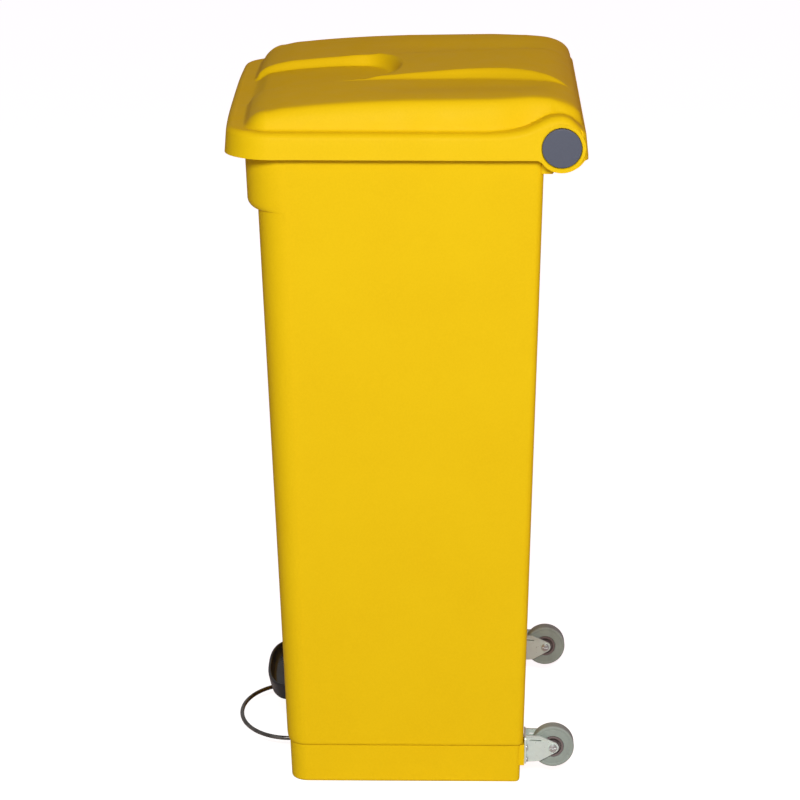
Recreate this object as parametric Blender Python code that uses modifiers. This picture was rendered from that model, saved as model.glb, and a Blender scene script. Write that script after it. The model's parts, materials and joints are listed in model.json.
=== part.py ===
"""Pedal bin: a tapered tub on a base plinth, a hinged lid, a foot pedal with its push rod, a hoop and two castors.

Metres, +Z up. The origin is on the floor under the middle of the bin.
-Y is the pedal side, +Y the castor side, and the hinge, pedal and wheel axes run along X.
"""

import math

import bmesh
import bpy
from mathutils import Vector

GAP = 0.0003

# Tub: a shell that tapers towards the floor, with a raised band round its front rim
TUB_BOTTOM = 0.047
TUB_TOP = 0.781
TUB_WALL = 0.004
TUB_FLOOR = 0.100
HALF_WIDTH_AT_FLOOR = 0.2055
FRONT_AT_FLOOR = 0.136
REAR_AT_FLOOR = 0.1386
SIDE_DRAFT = 0.044
FRONT_DRAFT = 0.044
REAR_DRAFT = 0.0228
FRONT_CORNER_LOW = 0.023
FRONT_CORNER_HIGH = 0.036
REAR_CORNER = 0.006
BAND_BOTTOM = 0.689
BAND_DEPTH = 0.012
FRONT_STEPS = 8
REAR_STEPS = 3

# Base plinth: plugs into the tub from below
PLINTH_INSET = 0.0028
PLINTH_WALL = 0.0035
PLINTH_FLOOR = 0.005
COLLAR_TOP = 0.064

# Niche for the foot in the front, channel for the push rod in the rear
NICHE_HALF_WIDTH = 0.090
NICHE_BOTTOM = 0.008
NICHE_TOP = 0.150
NICHE_DEPTH = 0.026
CHANNEL_HALF_WIDTH = 0.018
CHANNEL_DEPTH = 0.016
CHANNEL_BOTTOM = 0.030

# Lid
LID_BOTTOM = 0.757
LID_SHOULDER = 0.787
LID_HALF_WIDTH = 0.2515
LID_HALF_DEPTH = 0.205
LID_WALL = 0.003
CROWN_TOP = 0.8185
CROWN_SLOPE = 0.030
HUMP_TOP = 0.8290
RECESS_HALF_WIDTH = 0.080
RECESS_STRAIGHT_END = -0.050
RECESS_END_LENGTH = 0.045

# Hinge
HINGE_Y = 0.175
HINGE_Z = 0.771
HINGE_PIN_RADIUS = 0.007
BOSS_RADIUS = 0.028
BOSS_INNER_X = 0.2412
FAIRING_RADIUS = 0.039
CAP_RADIUS = 0.0224
CAP_FACE_X = 0.2525
CUP_FLOOR_X = 0.2445
BRACKET_X = (0.2140, 0.2375)
BRACKET_RADIUS = 0.013
PIN_INNER_X = 0.2120

# Pedal and push rod
PIVOT_Y = 0.012
PIVOT_Z = 0.060
AXLE_RADIUS = 0.004
LEVER_REAR_ARM = 0.120
LEVER_THICKNESS = 0.006
PEDAL_TRAVEL = math.radians(13.6)
ROD_RADIUS = 0.003
ROD_X = -0.010
CRANK_Y = -0.0190
CRANK_Z = -0.0146
PAD_HALF_WIDTH = 0.086
PAD_FRONT = -0.170
PAD_REAR = -0.119
PAD_BOTTOM = 0.057
PAD_TOP = 0.078

# Hoop
HOOP_WIRE = 0.0025
HOOP_FRONT = -0.2023
HOOP_SHOULDER = -0.140
HOOP_HALF_WIDTH = 0.0965
HOOP_Z = 0.0145
HOOP_END = -0.094

# Castors
CASTOR_X = 0.181
AXLE_Y = 0.175
AXLE_Z = 0.0403
WHEEL_RADIUS = 0.025
TYRE_HALF_WIDTH = 0.0085
HUB_RADIUS = 0.0125
FORK_INNER = 0.0105
FORK_SHEET = 0.002
PLATE_Y = 0.1413
PLATE_HALF_WIDTH = 0.0205
SCREW_SPACING_X = 0.0163
PLATE_LOW = 0.0225
PLATE_HIGH = 0.0555

YELLOW = ((0.90, 0.58, 0.010), 0.42, 0.0)
GREY = ((0.115, 0.130, 0.165), 0.45, 0.0)
BLACK = ((0.022, 0.021, 0.022), 0.28, 0.0)
NYLON = ((0.70, 0.68, 0.62), 0.5, 0.0)
STEEL = ((0.35, 0.34, 0.32), 0.3, 1.0)
ZINC = ((0.62, 0.65, 0.63), 0.32, 1.0)
RUBBER = ((0.28, 0.30, 0.27), 0.6, 0.0)
HUB = ((0.20, 0.17, 0.165), 0.5, 0.0)


def clear_scene():
    for item in list(bpy.data.objects):
        bpy.data.objects.remove(item, do_unlink=True)


def new_collection(name):
    group = bpy.data.collections.new(name)
    bpy.context.scene.collection.children.link(group)
    return group


def finish(item, look):
    """Gives a piece its own material and smooth shading between its sharp edges."""
    colour, roughness, metallic = look
    material = bpy.data.materials.new(item.name)
    material.use_nodes = True
    shader = material.node_tree.nodes["Principled BSDF"]
    shader.inputs["Base Color"].default_value = (*colour, 1.0)
    shader.inputs["Roughness"].default_value = roughness
    shader.inputs["Metallic"].default_value = metallic
    item.data.materials.clear()
    item.data.materials.append(material)
    item.data.shade_smooth()
    item.data.set_sharp_from_angle(angle=math.radians(35))
    return item


def add_object(name, bm, location=(0, 0, 0)):
    bmesh.ops.recalc_face_normals(bm, faces=bm.faces)
    mesh = bpy.data.meshes.new(name)
    bm.to_mesh(mesh)
    bm.free()
    item = bpy.data.objects.new(name, mesh)
    item.location = location
    parts.objects.link(item)
    return item


def box(name, low, high, bevel=0.0):
    """A block between two corners, placed by its middle."""
    size = Vector(high) - Vector(low)
    bm = bmesh.new()
    bmesh.ops.create_cube(bm, size=1.0)
    bmesh.ops.scale(bm, vec=size, verts=bm.verts)
    if bevel:
        bmesh.ops.bevel(bm, geom=bm.edges, offset=bevel, segments=2, profile=0.5, affect="EDGES")
    return add_object(name, bm, (Vector(high) + Vector(low)) / 2)


def rod_x(name, radius, start, end, y, z, sides=24, chamfer=0.0):
    """A cylinder along X from start to end."""
    bm = bmesh.new()
    bmesh.ops.create_cone(
        bm, cap_ends=True, segments=sides, radius1=radius, radius2=radius, depth=abs(end - start)
    )
    if chamfer:
        rims = [edge for edge in bm.edges if abs(edge.verts[0].co.z - edge.verts[1].co.z) < 1e-6]
        bmesh.ops.bevel(bm, geom=rims, offset=chamfer, segments=2, profile=0.5, affect="EDGES")
    item = add_object(name, bm, ((start + end) / 2, y, z))
    item.rotation_euler = (0, math.radians(90), 0)
    return item


def loft(name, rings):
    """A closed solid through rings that have the same number of points."""
    bm = bmesh.new()
    loops = [[bm.verts.new(point) for point in ring] for ring in rings]
    count = len(loops[0])
    for lower, upper in zip(loops, loops[1:]):
        for i in range(count):
            j = (i + 1) % count
            bm.faces.new((lower[i], lower[j], upper[j], upper[i]))
    bm.faces.new(loops[0][::-1])
    bm.faces.new(loops[-1])
    return add_object(name, bm)


def mesh_of_curve(item):
    """Turns a curve object into a mesh object of the same name and place, with its caps welded on."""
    bpy.context.view_layer.update()
    mesh = bpy.data.meshes.new_from_object(item.evaluated_get(bpy.context.evaluated_depsgraph_get()))
    bm = bmesh.new()
    bm.from_mesh(mesh)
    bmesh.ops.remove_doubles(bm, verts=bm.verts, dist=1e-5)
    name, turn, location = item.name, item.rotation_euler.copy(), item.location.copy()
    bpy.data.objects.remove(item, do_unlink=True)
    made = add_object(name, bm, location)
    made.rotation_euler = turn
    return made


def poly_curve(name, points, dimensions):
    """A curve object with one straight-sided spline through the points."""
    curve = bpy.data.curves.new(name, "CURVE")
    curve.dimensions = dimensions
    spline = curve.splines.new("POLY")
    spline.points.add(len(points) - 1)
    for place, point in zip(spline.points, points):
        place.co = (*point, 1.0)
    item = bpy.data.objects.new(name, curve)
    parts.objects.link(item)
    return item


def plate_x(name, profile, start, end):
    """A plate with a (y, z) outline, from start to end along X."""
    item = poly_curve(name, [(y, z, 0.0) for y, z in profile], "2D")
    item.data.splines[0].use_cyclic_u = True
    item.data.fill_mode = "BOTH"
    item.data.extrude = abs(end - start) / 2
    item.location = ((start + end) / 2, 0, 0)
    item.rotation_euler = (math.radians(90), 0, math.radians(90))
    return mesh_of_curve(item)


def arc(centre, radius, first, last, steps):
    """Points on a circle between two angles in degrees."""
    angles = [math.radians(first + (last - first) * i / steps) for i in range(steps + 1)]
    return [(centre[0] + radius * math.cos(a), centre[1] + radius * math.sin(a)) for a in angles]


def combine(item, others, operation):
    """Cuts the others out of a piece, or joins them to it, and removes them."""
    for other in others:
        modifier = item.modifiers.new(operation.lower(), "BOOLEAN")
        modifier.operation = operation
        modifier.object = other
        modifier.solver = "EXACT"
    bpy.context.view_layer.update()
    evaluated = item.evaluated_get(bpy.context.evaluated_depsgraph_get())
    mesh = bpy.data.meshes.new_from_object(evaluated)
    item.modifiers.clear()
    item.data = mesh
    for other in others:
        bpy.data.objects.remove(other, do_unlink=True)
    return item


def cut(item, *cutters):
    return combine(item, cutters, "DIFFERENCE")


def join(item, *additions):
    return combine(item, additions, "UNION")


def rounded_ring(half_width, front, rear, front_radius, rear_radius, z):
    """A rounded rectangle at height z, with its own radius at the front and at the rear."""
    ring = []
    for side, y, radius, first, steps in (
        (1, rear - rear_radius, rear_radius, 0, REAR_STEPS),
        (-1, rear - rear_radius, rear_radius, 90, REAR_STEPS),
        (-1, front + front_radius, front_radius, 180, FRONT_STEPS),
        (1, front + front_radius, front_radius, 270, FRONT_STEPS),
    ):
        centre = (side * (half_width - radius), y)
        ring += [(x, y, z) for x, y in arc(centre, radius, first, first + 90, steps)]
    return ring


def tub_ring(z, inset=0.0, band=0.0):
    """The tub's outline at height z, moved in by inset, and out by band at the front."""
    height = z / TUB_TOP
    corner = FRONT_CORNER_LOW + (FRONT_CORNER_HIGH - FRONT_CORNER_LOW) * height + 0.8 * band
    return rounded_ring(
        HALF_WIDTH_AT_FLOOR + SIDE_DRAFT * z - inset,
        -(FRONT_AT_FLOOR + FRONT_DRAFT * z + band) + inset,
        REAR_AT_FLOOR + REAR_DRAFT * z - inset,
        corner - inset,
        max(REAR_CORNER - inset, 0.0015),
        z,
    )


def tub_front(z):
    return -(FRONT_AT_FLOOR + FRONT_DRAFT * z)


def tub_rear(z):
    return REAR_AT_FLOOR + REAR_DRAFT * z


def front_band(start, rise, inset, top):
    """Rings of the rim band: a rounded lower edge, then straight up."""
    rings = []
    for degrees in (0, 30, 60, 90):
        angle = math.radians(degrees)
        depth = BAND_DEPTH * math.sin(angle)
        rings.append(tub_ring(start + rise * (1 - math.cos(angle)), inset, depth))
    rings.append(tub_ring(top, inset, BAND_DEPTH))
    return rings


def niche(name, grow, low=None):
    """The space for the foot, larger by grow on every side but the open front."""
    back = tub_front(NICHE_BOTTOM) + NICHE_DEPTH + grow
    width = NICHE_HALF_WIDTH + grow
    low = NICHE_BOTTOM - grow if low is None else low
    top = NICHE_TOP + grow
    slope = 0.030
    profile = [
        (-0.30, low),
        (back, low),
        (back, top - slope),
        (back - NICHE_DEPTH * 0.35, top - slope * 0.35),
        (back - NICHE_DEPTH, top),
        (-0.30, top),
    ]
    return plate_x(name, profile, -width, width)


def channel(name, grow, low):
    """The push rod's channel down the middle of the rear wall."""
    width = CHANNEL_HALF_WIDTH + grow
    rings = []
    for z in (low, TUB_TOP + 0.02):
        front = tub_rear(z) - CHANNEL_DEPTH - grow
        rings.append([(-width, front, z), (width, front, z), (width, 0.30, z), (-width, 0.30, z)])
    return loft(name, rings)


def lever_slot(name, low, high):
    """The slot through the back of the niche that the pedal lever works in."""
    back = tub_front(NICHE_BOTTOM) + NICHE_DEPTH
    return box(name, (-0.010, back - 0.02, low), (0.010, back + 0.02, high))


def hinge_bracket(name, side):
    """A bracket behind the rim that carries one end of the lid's hinge."""
    profile = [(0.1530, 0.7393), (0.1620, 0.7393)]
    profile += arc((HINGE_Y, HINGE_Z), BRACKET_RADIUS, -50, 100, 10)
    profile += [(0.1530, 0.7800)]
    near, far = BRACKET_X
    return plate_x(name, profile, side * near, side * far)


def build_tub():
    lower_edge = 0.004
    rings = [tub_ring(TUB_BOTTOM, 0.0030), tub_ring(TUB_BOTTOM + 0.001, 0.0014)]
    rings += [tub_ring(TUB_BOTTOM + lower_edge), tub_ring(0.35)]
    rings += front_band(BAND_BOTTOM, 0.014, 0.0, TUB_TOP)
    tub = loft("tub", rings)

    cavity_rings = [tub_ring(TUB_FLOOR, TUB_WALL + 0.010), tub_ring(TUB_FLOOR + 0.003, TUB_WALL + 0.003)]
    cavity_rings += [tub_ring(TUB_FLOOR + 0.010, TUB_WALL), tub_ring(0.35, TUB_WALL)]
    cavity_rings += front_band(BAND_BOTTOM + TUB_WALL, 0.014, TUB_WALL, TUB_TOP + 0.01)
    cavity = loft("cavity", cavity_rings)
    cut(cavity, channel("cavity_channel", TUB_WALL, 0.02), niche("cavity_niche", TUB_WALL))

    under_floor = loft(
        "under_floor",
        [tub_ring(z, TUB_WALL) for z in (TUB_BOTTOM - 0.01, TUB_FLOOR - TUB_WALL)],
    )
    cut(under_floor, niche("under_niche", TUB_WALL))
    brackets = [hinge_bracket("bracket", side) for side in (-1, 1)]
    join(tub, *brackets)
    bores = [
        rod_x("bore", HINGE_PIN_RADIUS + GAP, side * 0.20, side * 0.24, HINGE_Y, HINGE_Z)
        for side in (-1, 1)
    ]
    cut(tub, cavity, under_floor, niche("tub_niche", 0.0), channel("tub_channel", 0.0, 0.02))
    cut(tub, lever_slot("tub_slot", 0.03, 0.086), *bores)
    return finish(tub, YELLOW)


def pivot_lug(name, side):
    """An upright lug on the plinth's floor that holds one end of the pedal's axle."""
    profile = [(PIVOT_Y - 0.016, 0.004), (PIVOT_Y + 0.016, 0.004)]
    profile += arc((PIVOT_Y, PIVOT_Z), 0.010, 0, 180, 8)
    return plate_x(name, profile, side * 0.020, side * 0.026)


def castor_pad(name, side):
    """A thickened block on the rear of the plinth for a castor's plate."""
    low = (side * CASTOR_X - PLATE_HALF_WIDTH - 0.001, 0.126, 0.0215)
    high = (side * CASTOR_X + PLATE_HALF_WIDTH + 0.001, PLATE_Y - GAP, TUB_BOTTOM - GAP)
    return box(name, low, high)


def castor_screw_places(side):
    for x in (-SCREW_SPACING_X, SCREW_SPACING_X):
        for z in (0.0275, 0.0425):
            yield side * CASTOR_X + x, z


def build_plinth():
    top = TUB_BOTTOM - GAP
    collar = TUB_WALL + GAP
    rings = [tub_ring(0.0, PLINTH_INSET + 0.0035), tub_ring(0.001, PLINTH_INSET + 0.0013)]
    rings += [tub_ring(0.0035, PLINTH_INSET), tub_ring(top, PLINTH_INSET)]
    rings += [tub_ring(top, collar), tub_ring(COLLAR_TOP, collar)]
    plinth = loft("base_plinth", rings)
    hollow = loft(
        "hollow",
        [
            tub_ring(PLINTH_FLOOR, PLINTH_INSET + PLINTH_WALL),
            tub_ring(top - 0.004, PLINTH_INSET + PLINTH_WALL),
            tub_ring(top, collar + PLINTH_WALL),
            tub_ring(COLLAR_TOP + 0.01, collar + PLINTH_WALL),
        ],
    )
    cut(hollow, niche("hollow_niche", PLINTH_WALL))
    cut(plinth, hollow, niche("plinth_niche", 0.0), niche("collar_gap", collar, top))
    lugs = [pivot_lug("lug", side) for side in (-1, 1)]
    pads = [castor_pad("pad", side) for side in (-1, 1)]
    join(plinth, *lugs, *pads)
    holes = [rod_x("axle_hole", AXLE_RADIUS + GAP, -0.03, 0.03, PIVOT_Y, PIVOT_Z)]
    holes.append(lever_slot("plinth_slot", 0.0115, 0.086))
    holes.append(channel("plinth_channel", 0.0, CHANNEL_BOTTOM))
    for side in (-1, 1):
        holes.append(rod_y("hoop_hole", HOOP_WIRE + GAP, -0.16, -0.115, side * HOOP_HALF_WIDTH, HOOP_Z))
        for x, z in castor_screw_places(side):
            holes.append(rod_y("screw_hole", 0.0020 + GAP, 0.130, 0.15, x, z, 12))
        holes.append(rod_z("clip_hole", 0.0015 + GAP, 0.0015, 0.01, *hoop_screw_place(side), 12))
    cut(plinth, *holes)
    return finish(plinth, YELLOW)


def rod_y(name, radius, start, end, x, z, sides=16):
    """A cylinder along Y from start to end."""
    bm = bmesh.new()
    bmesh.ops.create_cone(
        bm, cap_ends=True, segments=sides, radius1=radius, radius2=radius, depth=end - start
    )
    item = add_object(name, bm, (x, (start + end) / 2, z))
    item.rotation_euler = (math.radians(90), 0, 0)
    return item


def rod_z(name, radius, start, end, x, y, sides=16):
    """An upright cylinder from start to end."""
    bm = bmesh.new()
    bmesh.ops.create_cone(
        bm, cap_ends=True, segments=sides, radius1=radius, radius2=radius, depth=end - start
    )
    return add_object(name, bm, (x, y, (start + end) / 2))


def recess_floor(y):
    """Height of the finger recess's floor: it climbs from the front ledge and levels out."""
    if y < -0.165:
        return 0.787 + 0.009 * (y + 0.182) / 0.017
    return 0.796 + 0.0085 * math.sin(math.radians(90) * (y + 0.165) / 0.115)


def recess(name, grow):
    """The finger recess: open at the front edge, with a round end near the middle of the lid."""
    stations = [(-0.26, RECESS_HALF_WIDTH), (-0.183, RECESS_HALF_WIDTH), (-0.165, RECESS_HALF_WIDTH)]
    stations += [(-0.135, RECESS_HALF_WIDTH), (-0.095, RECESS_HALF_WIDTH)]
    for degrees in (0, 25, 45, 60, 75, 84):
        angle = math.radians(degrees)
        y = RECESS_STRAIGHT_END + RECESS_END_LENGTH * math.sin(angle)
        stations.append((y, RECESS_HALF_WIDTH * math.cos(angle)))
    rings = []
    for y, width in stations:
        floor = recess_floor(max(y, -0.182)) - grow
        end = y + grow if y > RECESS_STRAIGHT_END else y
        foot = width * 0.95 + grow
        rings.append(
            [(-foot, end, floor), (foot, end, floor), (width + grow, end, 0.86), (-width - grow, end, 0.86)]
        )
    return loft(name, rings)


def hump(name, inset):
    """The raised middle of the lid's rear half, which grows out of the crown and ends before the rear edge."""
    rings = []
    for width, front, rear, rise in ((0.086, -0.052, 0.176, -0.006), (0.080, -0.020, 0.168, 0.0)):
        rings.append(rounded_ring(width - inset, front + inset, rear - inset, 0.03, 0.03, 0.822 + rise - inset))
    rings.append(rounded_ring(0.064 - inset, 0.050, 0.145, 0.025, 0.025, HUMP_TOP - inset))
    return loft(name, rings)


def crown_ring(half_width, front, rear, front_radius, z, slope, inset):
    ring = rounded_ring(
        half_width - inset, front + inset, rear - inset, front_radius - inset, 0.012 - inset, z - inset
    )
    return [(x, y, height + slope * y) for x, y, height in ring]


def lid_rings(inset):
    """Outlines of the lid from the skirt's lower edge to the top of the crown."""
    bottom = LID_BOTTOM if inset == 0 else LID_BOTTOM - 0.01
    rings = [crown_ring(LID_HALF_WIDTH, -LID_HALF_DEPTH, LID_HALF_DEPTH, 0.048, bottom + inset, 0, inset)]
    for half_width, front, rear, radius, z, slope in (
        (0.2490, -0.2010, 0.2025, 0.046, LID_SHOULDER, 0),
        (0.2465, -0.1985, 0.2010, 0.044, LID_SHOULDER + 0.002, 0),
        (0.2405, -0.1825, 0.2005, 0.036, LID_SHOULDER + 0.001, 0),
        (0.2370, -0.1770, 0.1965, 0.036, 0.8005, CROWN_SLOPE * 0.3),
        (0.2325, -0.1660, 0.1890, 0.036, 0.8085, CROWN_SLOPE * 0.6),
        (0.2280, -0.1490, 0.1760, 0.036, 0.8150, CROWN_SLOPE * 0.9),
        (0.2215, -0.1260, 0.1540, 0.036, CROWN_TOP, CROWN_SLOPE),
    ):
        rings.append(crown_ring(half_width, front, rear, radius, z, slope, inset))
    return rings


def hinge_fairing(name, side):
    """The swelling of the skirt's side over the hinge, which rises in a long S from the shoulder."""
    start, crest = 0.085, 0.168
    low = LID_SHOULDER - 0.004
    high = HINGE_Z + FAIRING_RADIUS
    profile = [(0.2015, LID_BOTTOM), (start - 0.01, LID_BOTTOM), (start - 0.01, low)]
    for step in range(7):
        t = step / 6
        smooth = t * t * (3 - 2 * t)
        profile.append((start + (crest - start) * t, low + (high - low) * smooth))
    profile += arc((HINGE_Y, HINGE_Z), FAIRING_RADIUS, 88, 47, 5)
    return plate_x(name, profile, side * 0.2300, side * 0.2490)


def crank_lug(name):
    """The slotted lug under the lid that the push rod lifts."""
    pin = (HINGE_Y + CRANK_Y, HINGE_Z + CRANK_Z)
    profile = [(HINGE_Y + 0.014, 0.8100), (HINGE_Y + 0.001, 0.8165)]
    profile += [(HINGE_Y - 0.014, 0.8190), (HINGE_Y - 0.021, HINGE_Z + 0.008)]
    profile += arc(pin, 0.008, 165, 310, 6)
    profile += [(HINGE_Y + 0.004, HINGE_Z - 0.009), (HINGE_Y + 0.020, HINGE_Z + 0.004)]
    return plate_x(name, profile, -0.003, 0.003)


def crank_slot(name):
    """A slot that points at the hinge axis, so that the straight push rod can turn the lid."""
    direction = Vector((CRANK_Y, CRANK_Z)).normalized()
    along = math.degrees(math.atan2(direction.y, direction.x))
    radius = ROD_RADIUS + 0.0013
    outer = (HINGE_Y + direction.x * 0.0248, HINGE_Z + direction.y * 0.0248)
    inner = (HINGE_Y + direction.x * 0.0170, HINGE_Z + direction.y * 0.0170)
    profile = arc(outer, radius, along - 90, along + 90, 6) + arc(inner, radius, along + 90, along + 270, 6)
    return plate_x(name, profile, -0.01, 0.01)


def build_lid():
    lid = loft("lid_shell", lid_rings(0.0))
    fairings = [hinge_fairing("fairing", side) for side in (-1, 1)]
    join(lid, hump("hump", 0.0), *fairings)
    cut(lid, recess("recess", 0.0))
    hollow = loft("hollow", lid_rings(LID_WALL))
    join(hollow, hump("hollow_hump", LID_WALL))
    cut(hollow, recess("hollow_recess", LID_WALL))
    cut(lid, hollow)
    bosses = []
    for side in (-1, 1):
        bosses.append(rod_x("boss", BOSS_RADIUS, side * BOSS_INNER_X, side * 0.2512, HINGE_Y, HINGE_Z, 40))
    join(lid, *bosses, crank_lug("crank"))
    bores = [crank_slot("slot")]
    for side in (-1, 1):
        bores.append(rod_x("bore", HINGE_PIN_RADIUS + GAP, side * 0.24, side * 0.25, HINGE_Y, HINGE_Z))
        bores.append(rod_x("cup", CAP_RADIUS + 0.0006, side * CUP_FLOOR_X, side * 0.26, HINGE_Y, HINGE_Z, 40))
    cut(lid, *bores)
    return finish(lid, YELLOW)


def build_hinge(side, word):
    """One hinge pin with its head in the lid's cup, and the cap that covers it."""
    head_start, head_end = CUP_FLOOR_X + GAP, CUP_FLOOR_X + 0.003
    shank_end = side * (head_start + 0.001)
    pin = rod_x(f"hinge_pin_{word}", HINGE_PIN_RADIUS, side * PIN_INNER_X, shank_end, HINGE_Y, HINGE_Z)
    join(pin, rod_x("head", 0.012, side * head_start, side * head_end, HINGE_Y, HINGE_Z))
    cap = rod_x(
        f"hinge_cap_{word}",
        CAP_RADIUS,
        side * (CUP_FLOOR_X + 0.0036),
        side * CAP_FACE_X,
        HINGE_Y,
        HINGE_Z,
        40,
        0.001,
    )
    return finish(pin, NYLON), finish(cap, GREY)


def pad_ring(inset, z):
    """The pedal pad's outline: a flattened oval in front, square against the niche behind."""
    ring = [(PAD_HALF_WIDTH - inset, PAD_REAR - inset * 0.5, z), (-PAD_HALF_WIDTH + inset, PAD_REAR - inset * 0.5, z)]
    shoulder = -0.139
    depth = shoulder - PAD_FRONT
    for step in range(17):
        angle = math.radians(180 + 180 * step / 16)
        x = math.copysign(abs(math.cos(angle)) ** 0.77, math.cos(angle))
        y = abs(math.sin(angle)) ** 0.77
        ring.append(((PAD_HALF_WIDTH - inset) * x, shoulder - (depth - inset) * y, z))
    return ring


def build_pedal():
    rings = [pad_ring(0.008, PAD_BOTTOM), pad_ring(0.005, PAD_BOTTOM + 0.002), pad_ring(0.001, PAD_TOP - 0.004)]
    rings += [pad_ring(0.0, PAD_TOP - 0.002), pad_ring(0.001, PAD_TOP)]
    pad = loft("pedal_pad", rings)
    tray = [pad_ring(0.013, PAD_TOP - 0.010), pad_ring(0.010, PAD_TOP - 0.008), pad_ring(0.005, PAD_TOP + 0.002)]
    cut(pad, loft("tray", tray))

    rear_pin = lever_pin()
    profile = [(-0.150, 0.0530), (-0.108, 0.0400), (-0.020, 0.0440)]
    profile += arc((PIVOT_Y, PIVOT_Z), 0.012, 250, 290, 3)
    profile += arc(rear_pin, 0.0068, -95, 85, 6)
    profile += arc((PIVOT_Y, PIVOT_Z), 0.012, 75, 105, 3)
    profile += [(-0.100, 0.0560 - GAP), (-0.150, 0.0565)]
    half = LEVER_THICKNESS / 2
    lever = plate_x("pedal_lever", profile, -half, half)
    hub = rod_x("hub", 0.0105, -0.0185, 0.0185, PIVOT_Y, PIVOT_Z)
    foot = box("foot", (-0.036, -0.152, PAD_BOTTOM - 0.0043), (0.036, -0.124, PAD_BOTTOM - GAP))
    join(lever, hub, foot)
    slot_radius = ROD_RADIUS + 0.0005
    slot = arc((rear_pin[0] + 0.0008, rear_pin[1]), slot_radius, -90, 90, 6)
    slot += arc((rear_pin[0] - 0.0022, rear_pin[1]), slot_radius, 90, 270, 6)
    bore = rod_x("bore", 0.0065, -0.03, 0.03, PIVOT_Y, PIVOT_Z)
    cutters = [plate_x("slot", slot, -0.01, 0.01), bore]
    cutters += [rod_z("hole", 0.0020 + GAP, 0.04, 0.06, side * 0.026, -0.138, 12) for side in (-1, 1)]
    cut(lever, *cutters)
    cut(pad, *[rod_z("hole", 0.0020 + GAP, 0.05, 0.064, side * 0.026, -0.138, 12) for side in (-1, 1)])

    bush = rod_x("pedal_bush", 0.0065 - GAP, -0.0190, 0.0190, PIVOT_Y, PIVOT_Z)
    cut(bush, rod_x("bore", AXLE_RADIUS + GAP, -0.03, 0.03, PIVOT_Y, PIVOT_Z))
    axle = rod_x("pedal_axle", AXLE_RADIUS, -0.0320, 0.0320, PIVOT_Y, PIVOT_Z, 24, 0.0006)
    finish(pad, BLACK)
    finish(lever, ZINC)
    finish(bush, NYLON)
    finish(axle, STEEL)
    for side, word in SIDES:
        screw = rod_z(f"pad_screw_{word}", 0.0020, 0.0520, 0.0630, side * 0.026, -0.138, 12)
        head = rod_z("head", 0.0042, 0.0498, 0.0524, side * 0.026, -0.138, 12)
        finish(join(screw, head), ZINC)
        ring_x(f"axle_clip_{word}", 0.0085, AXLE_RADIUS, side * 0.0264, side * 0.0280, PIVOT_Y, PIVOT_Z)


def ring_x(name, outer, inner, start, end, y, z):
    """A push-on retaining washer, with its usual gap to the shaft."""
    washer = rod_x(name, outer, start, end, y, z, 20)
    cut(washer, rod_x("bore", inner + GAP, start - 0.01, end + 0.01, y, z, 20))
    return finish(washer, STEEL)


def lever_pin():
    """Where the push rod hooks into the pedal lever at rest, as (y, z)."""
    half = PEDAL_TRAVEL / 2
    return PIVOT_Y + LEVER_REAR_ARM * math.cos(half), PIVOT_Z - LEVER_REAR_ARM * math.sin(half)


def crank_pin():
    """Where the push rod hooks into the lid's crank at rest, as (y, z)."""
    return HINGE_Y + CRANK_Y, HINGE_Z + CRANK_Z


def wire(name, points, radius, look):
    """A bent round wire through points, as one closed mesh."""
    item = poly_curve(name, points, "3D")
    item.data.bevel_depth = radius
    item.data.bevel_resolution = 2
    item.data.use_fill_caps = True
    return finish(mesh_of_curve(item), look)


def bend(corner, before, after, radius, steps=5):
    """Points that round a square corner of a wire, from one leg's direction to the other's."""
    corner, before, after = Vector(corner), Vector(before).normalized(), Vector(after).normalized()
    centre = corner - before * radius + after * radius
    points = []
    for step in range(steps + 1):
        angle = math.radians(90 * step / steps)
        points.append(centre - after * radius * math.cos(angle) + before * radius * math.sin(angle))
    return points


def build_push_rod():
    low_y, low_z = lever_pin()
    high_y, high_z = crank_pin()
    up = Vector((0, high_y - low_y, high_z - low_z)).normalized()
    right = Vector((1, 0, 0))
    points = [Vector((0.0085, low_y, low_z))]
    points += bend((ROD_X, low_y, low_z), -right, up, 0.005)
    points += bend((ROD_X, high_y, high_z), up, right, 0.005)
    points.append(Vector((0.0085, high_y, high_z)))
    wire("push_rod", points, ROD_RADIUS, STEEL)
    ring_x("rod_clip_lower", 0.0060, ROD_RADIUS, 0.0045, 0.0058, low_y, low_z)
    ring_x("rod_clip_upper", 0.0060, ROD_RADIUS, 0.0045, 0.0058, high_y, high_z)
    for word, z in (("lower", 0.250), ("upper", 0.600)):
        rod_y_here = low_y + (z - low_z) * up.y / up.z
        half = 0.008
        front = tub_rear(z + half) - CHANNEL_DEPTH + GAP
        width = CHANNEL_HALF_WIDTH - GAP
        guide = box(f"rod_guide_{word}", (-width, front, z - half), (width, rod_y_here + 0.006, z + half))
        bore = rod_z("bore", ROD_RADIUS + 0.0007, z - 0.02, z + 0.02, ROD_X, rod_y_here)
        finish(cut(guide, bore), NYLON)


def hoop_screw_place(side):
    return side * (HOOP_HALF_WIDTH - 0.0085), -0.1000


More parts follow.
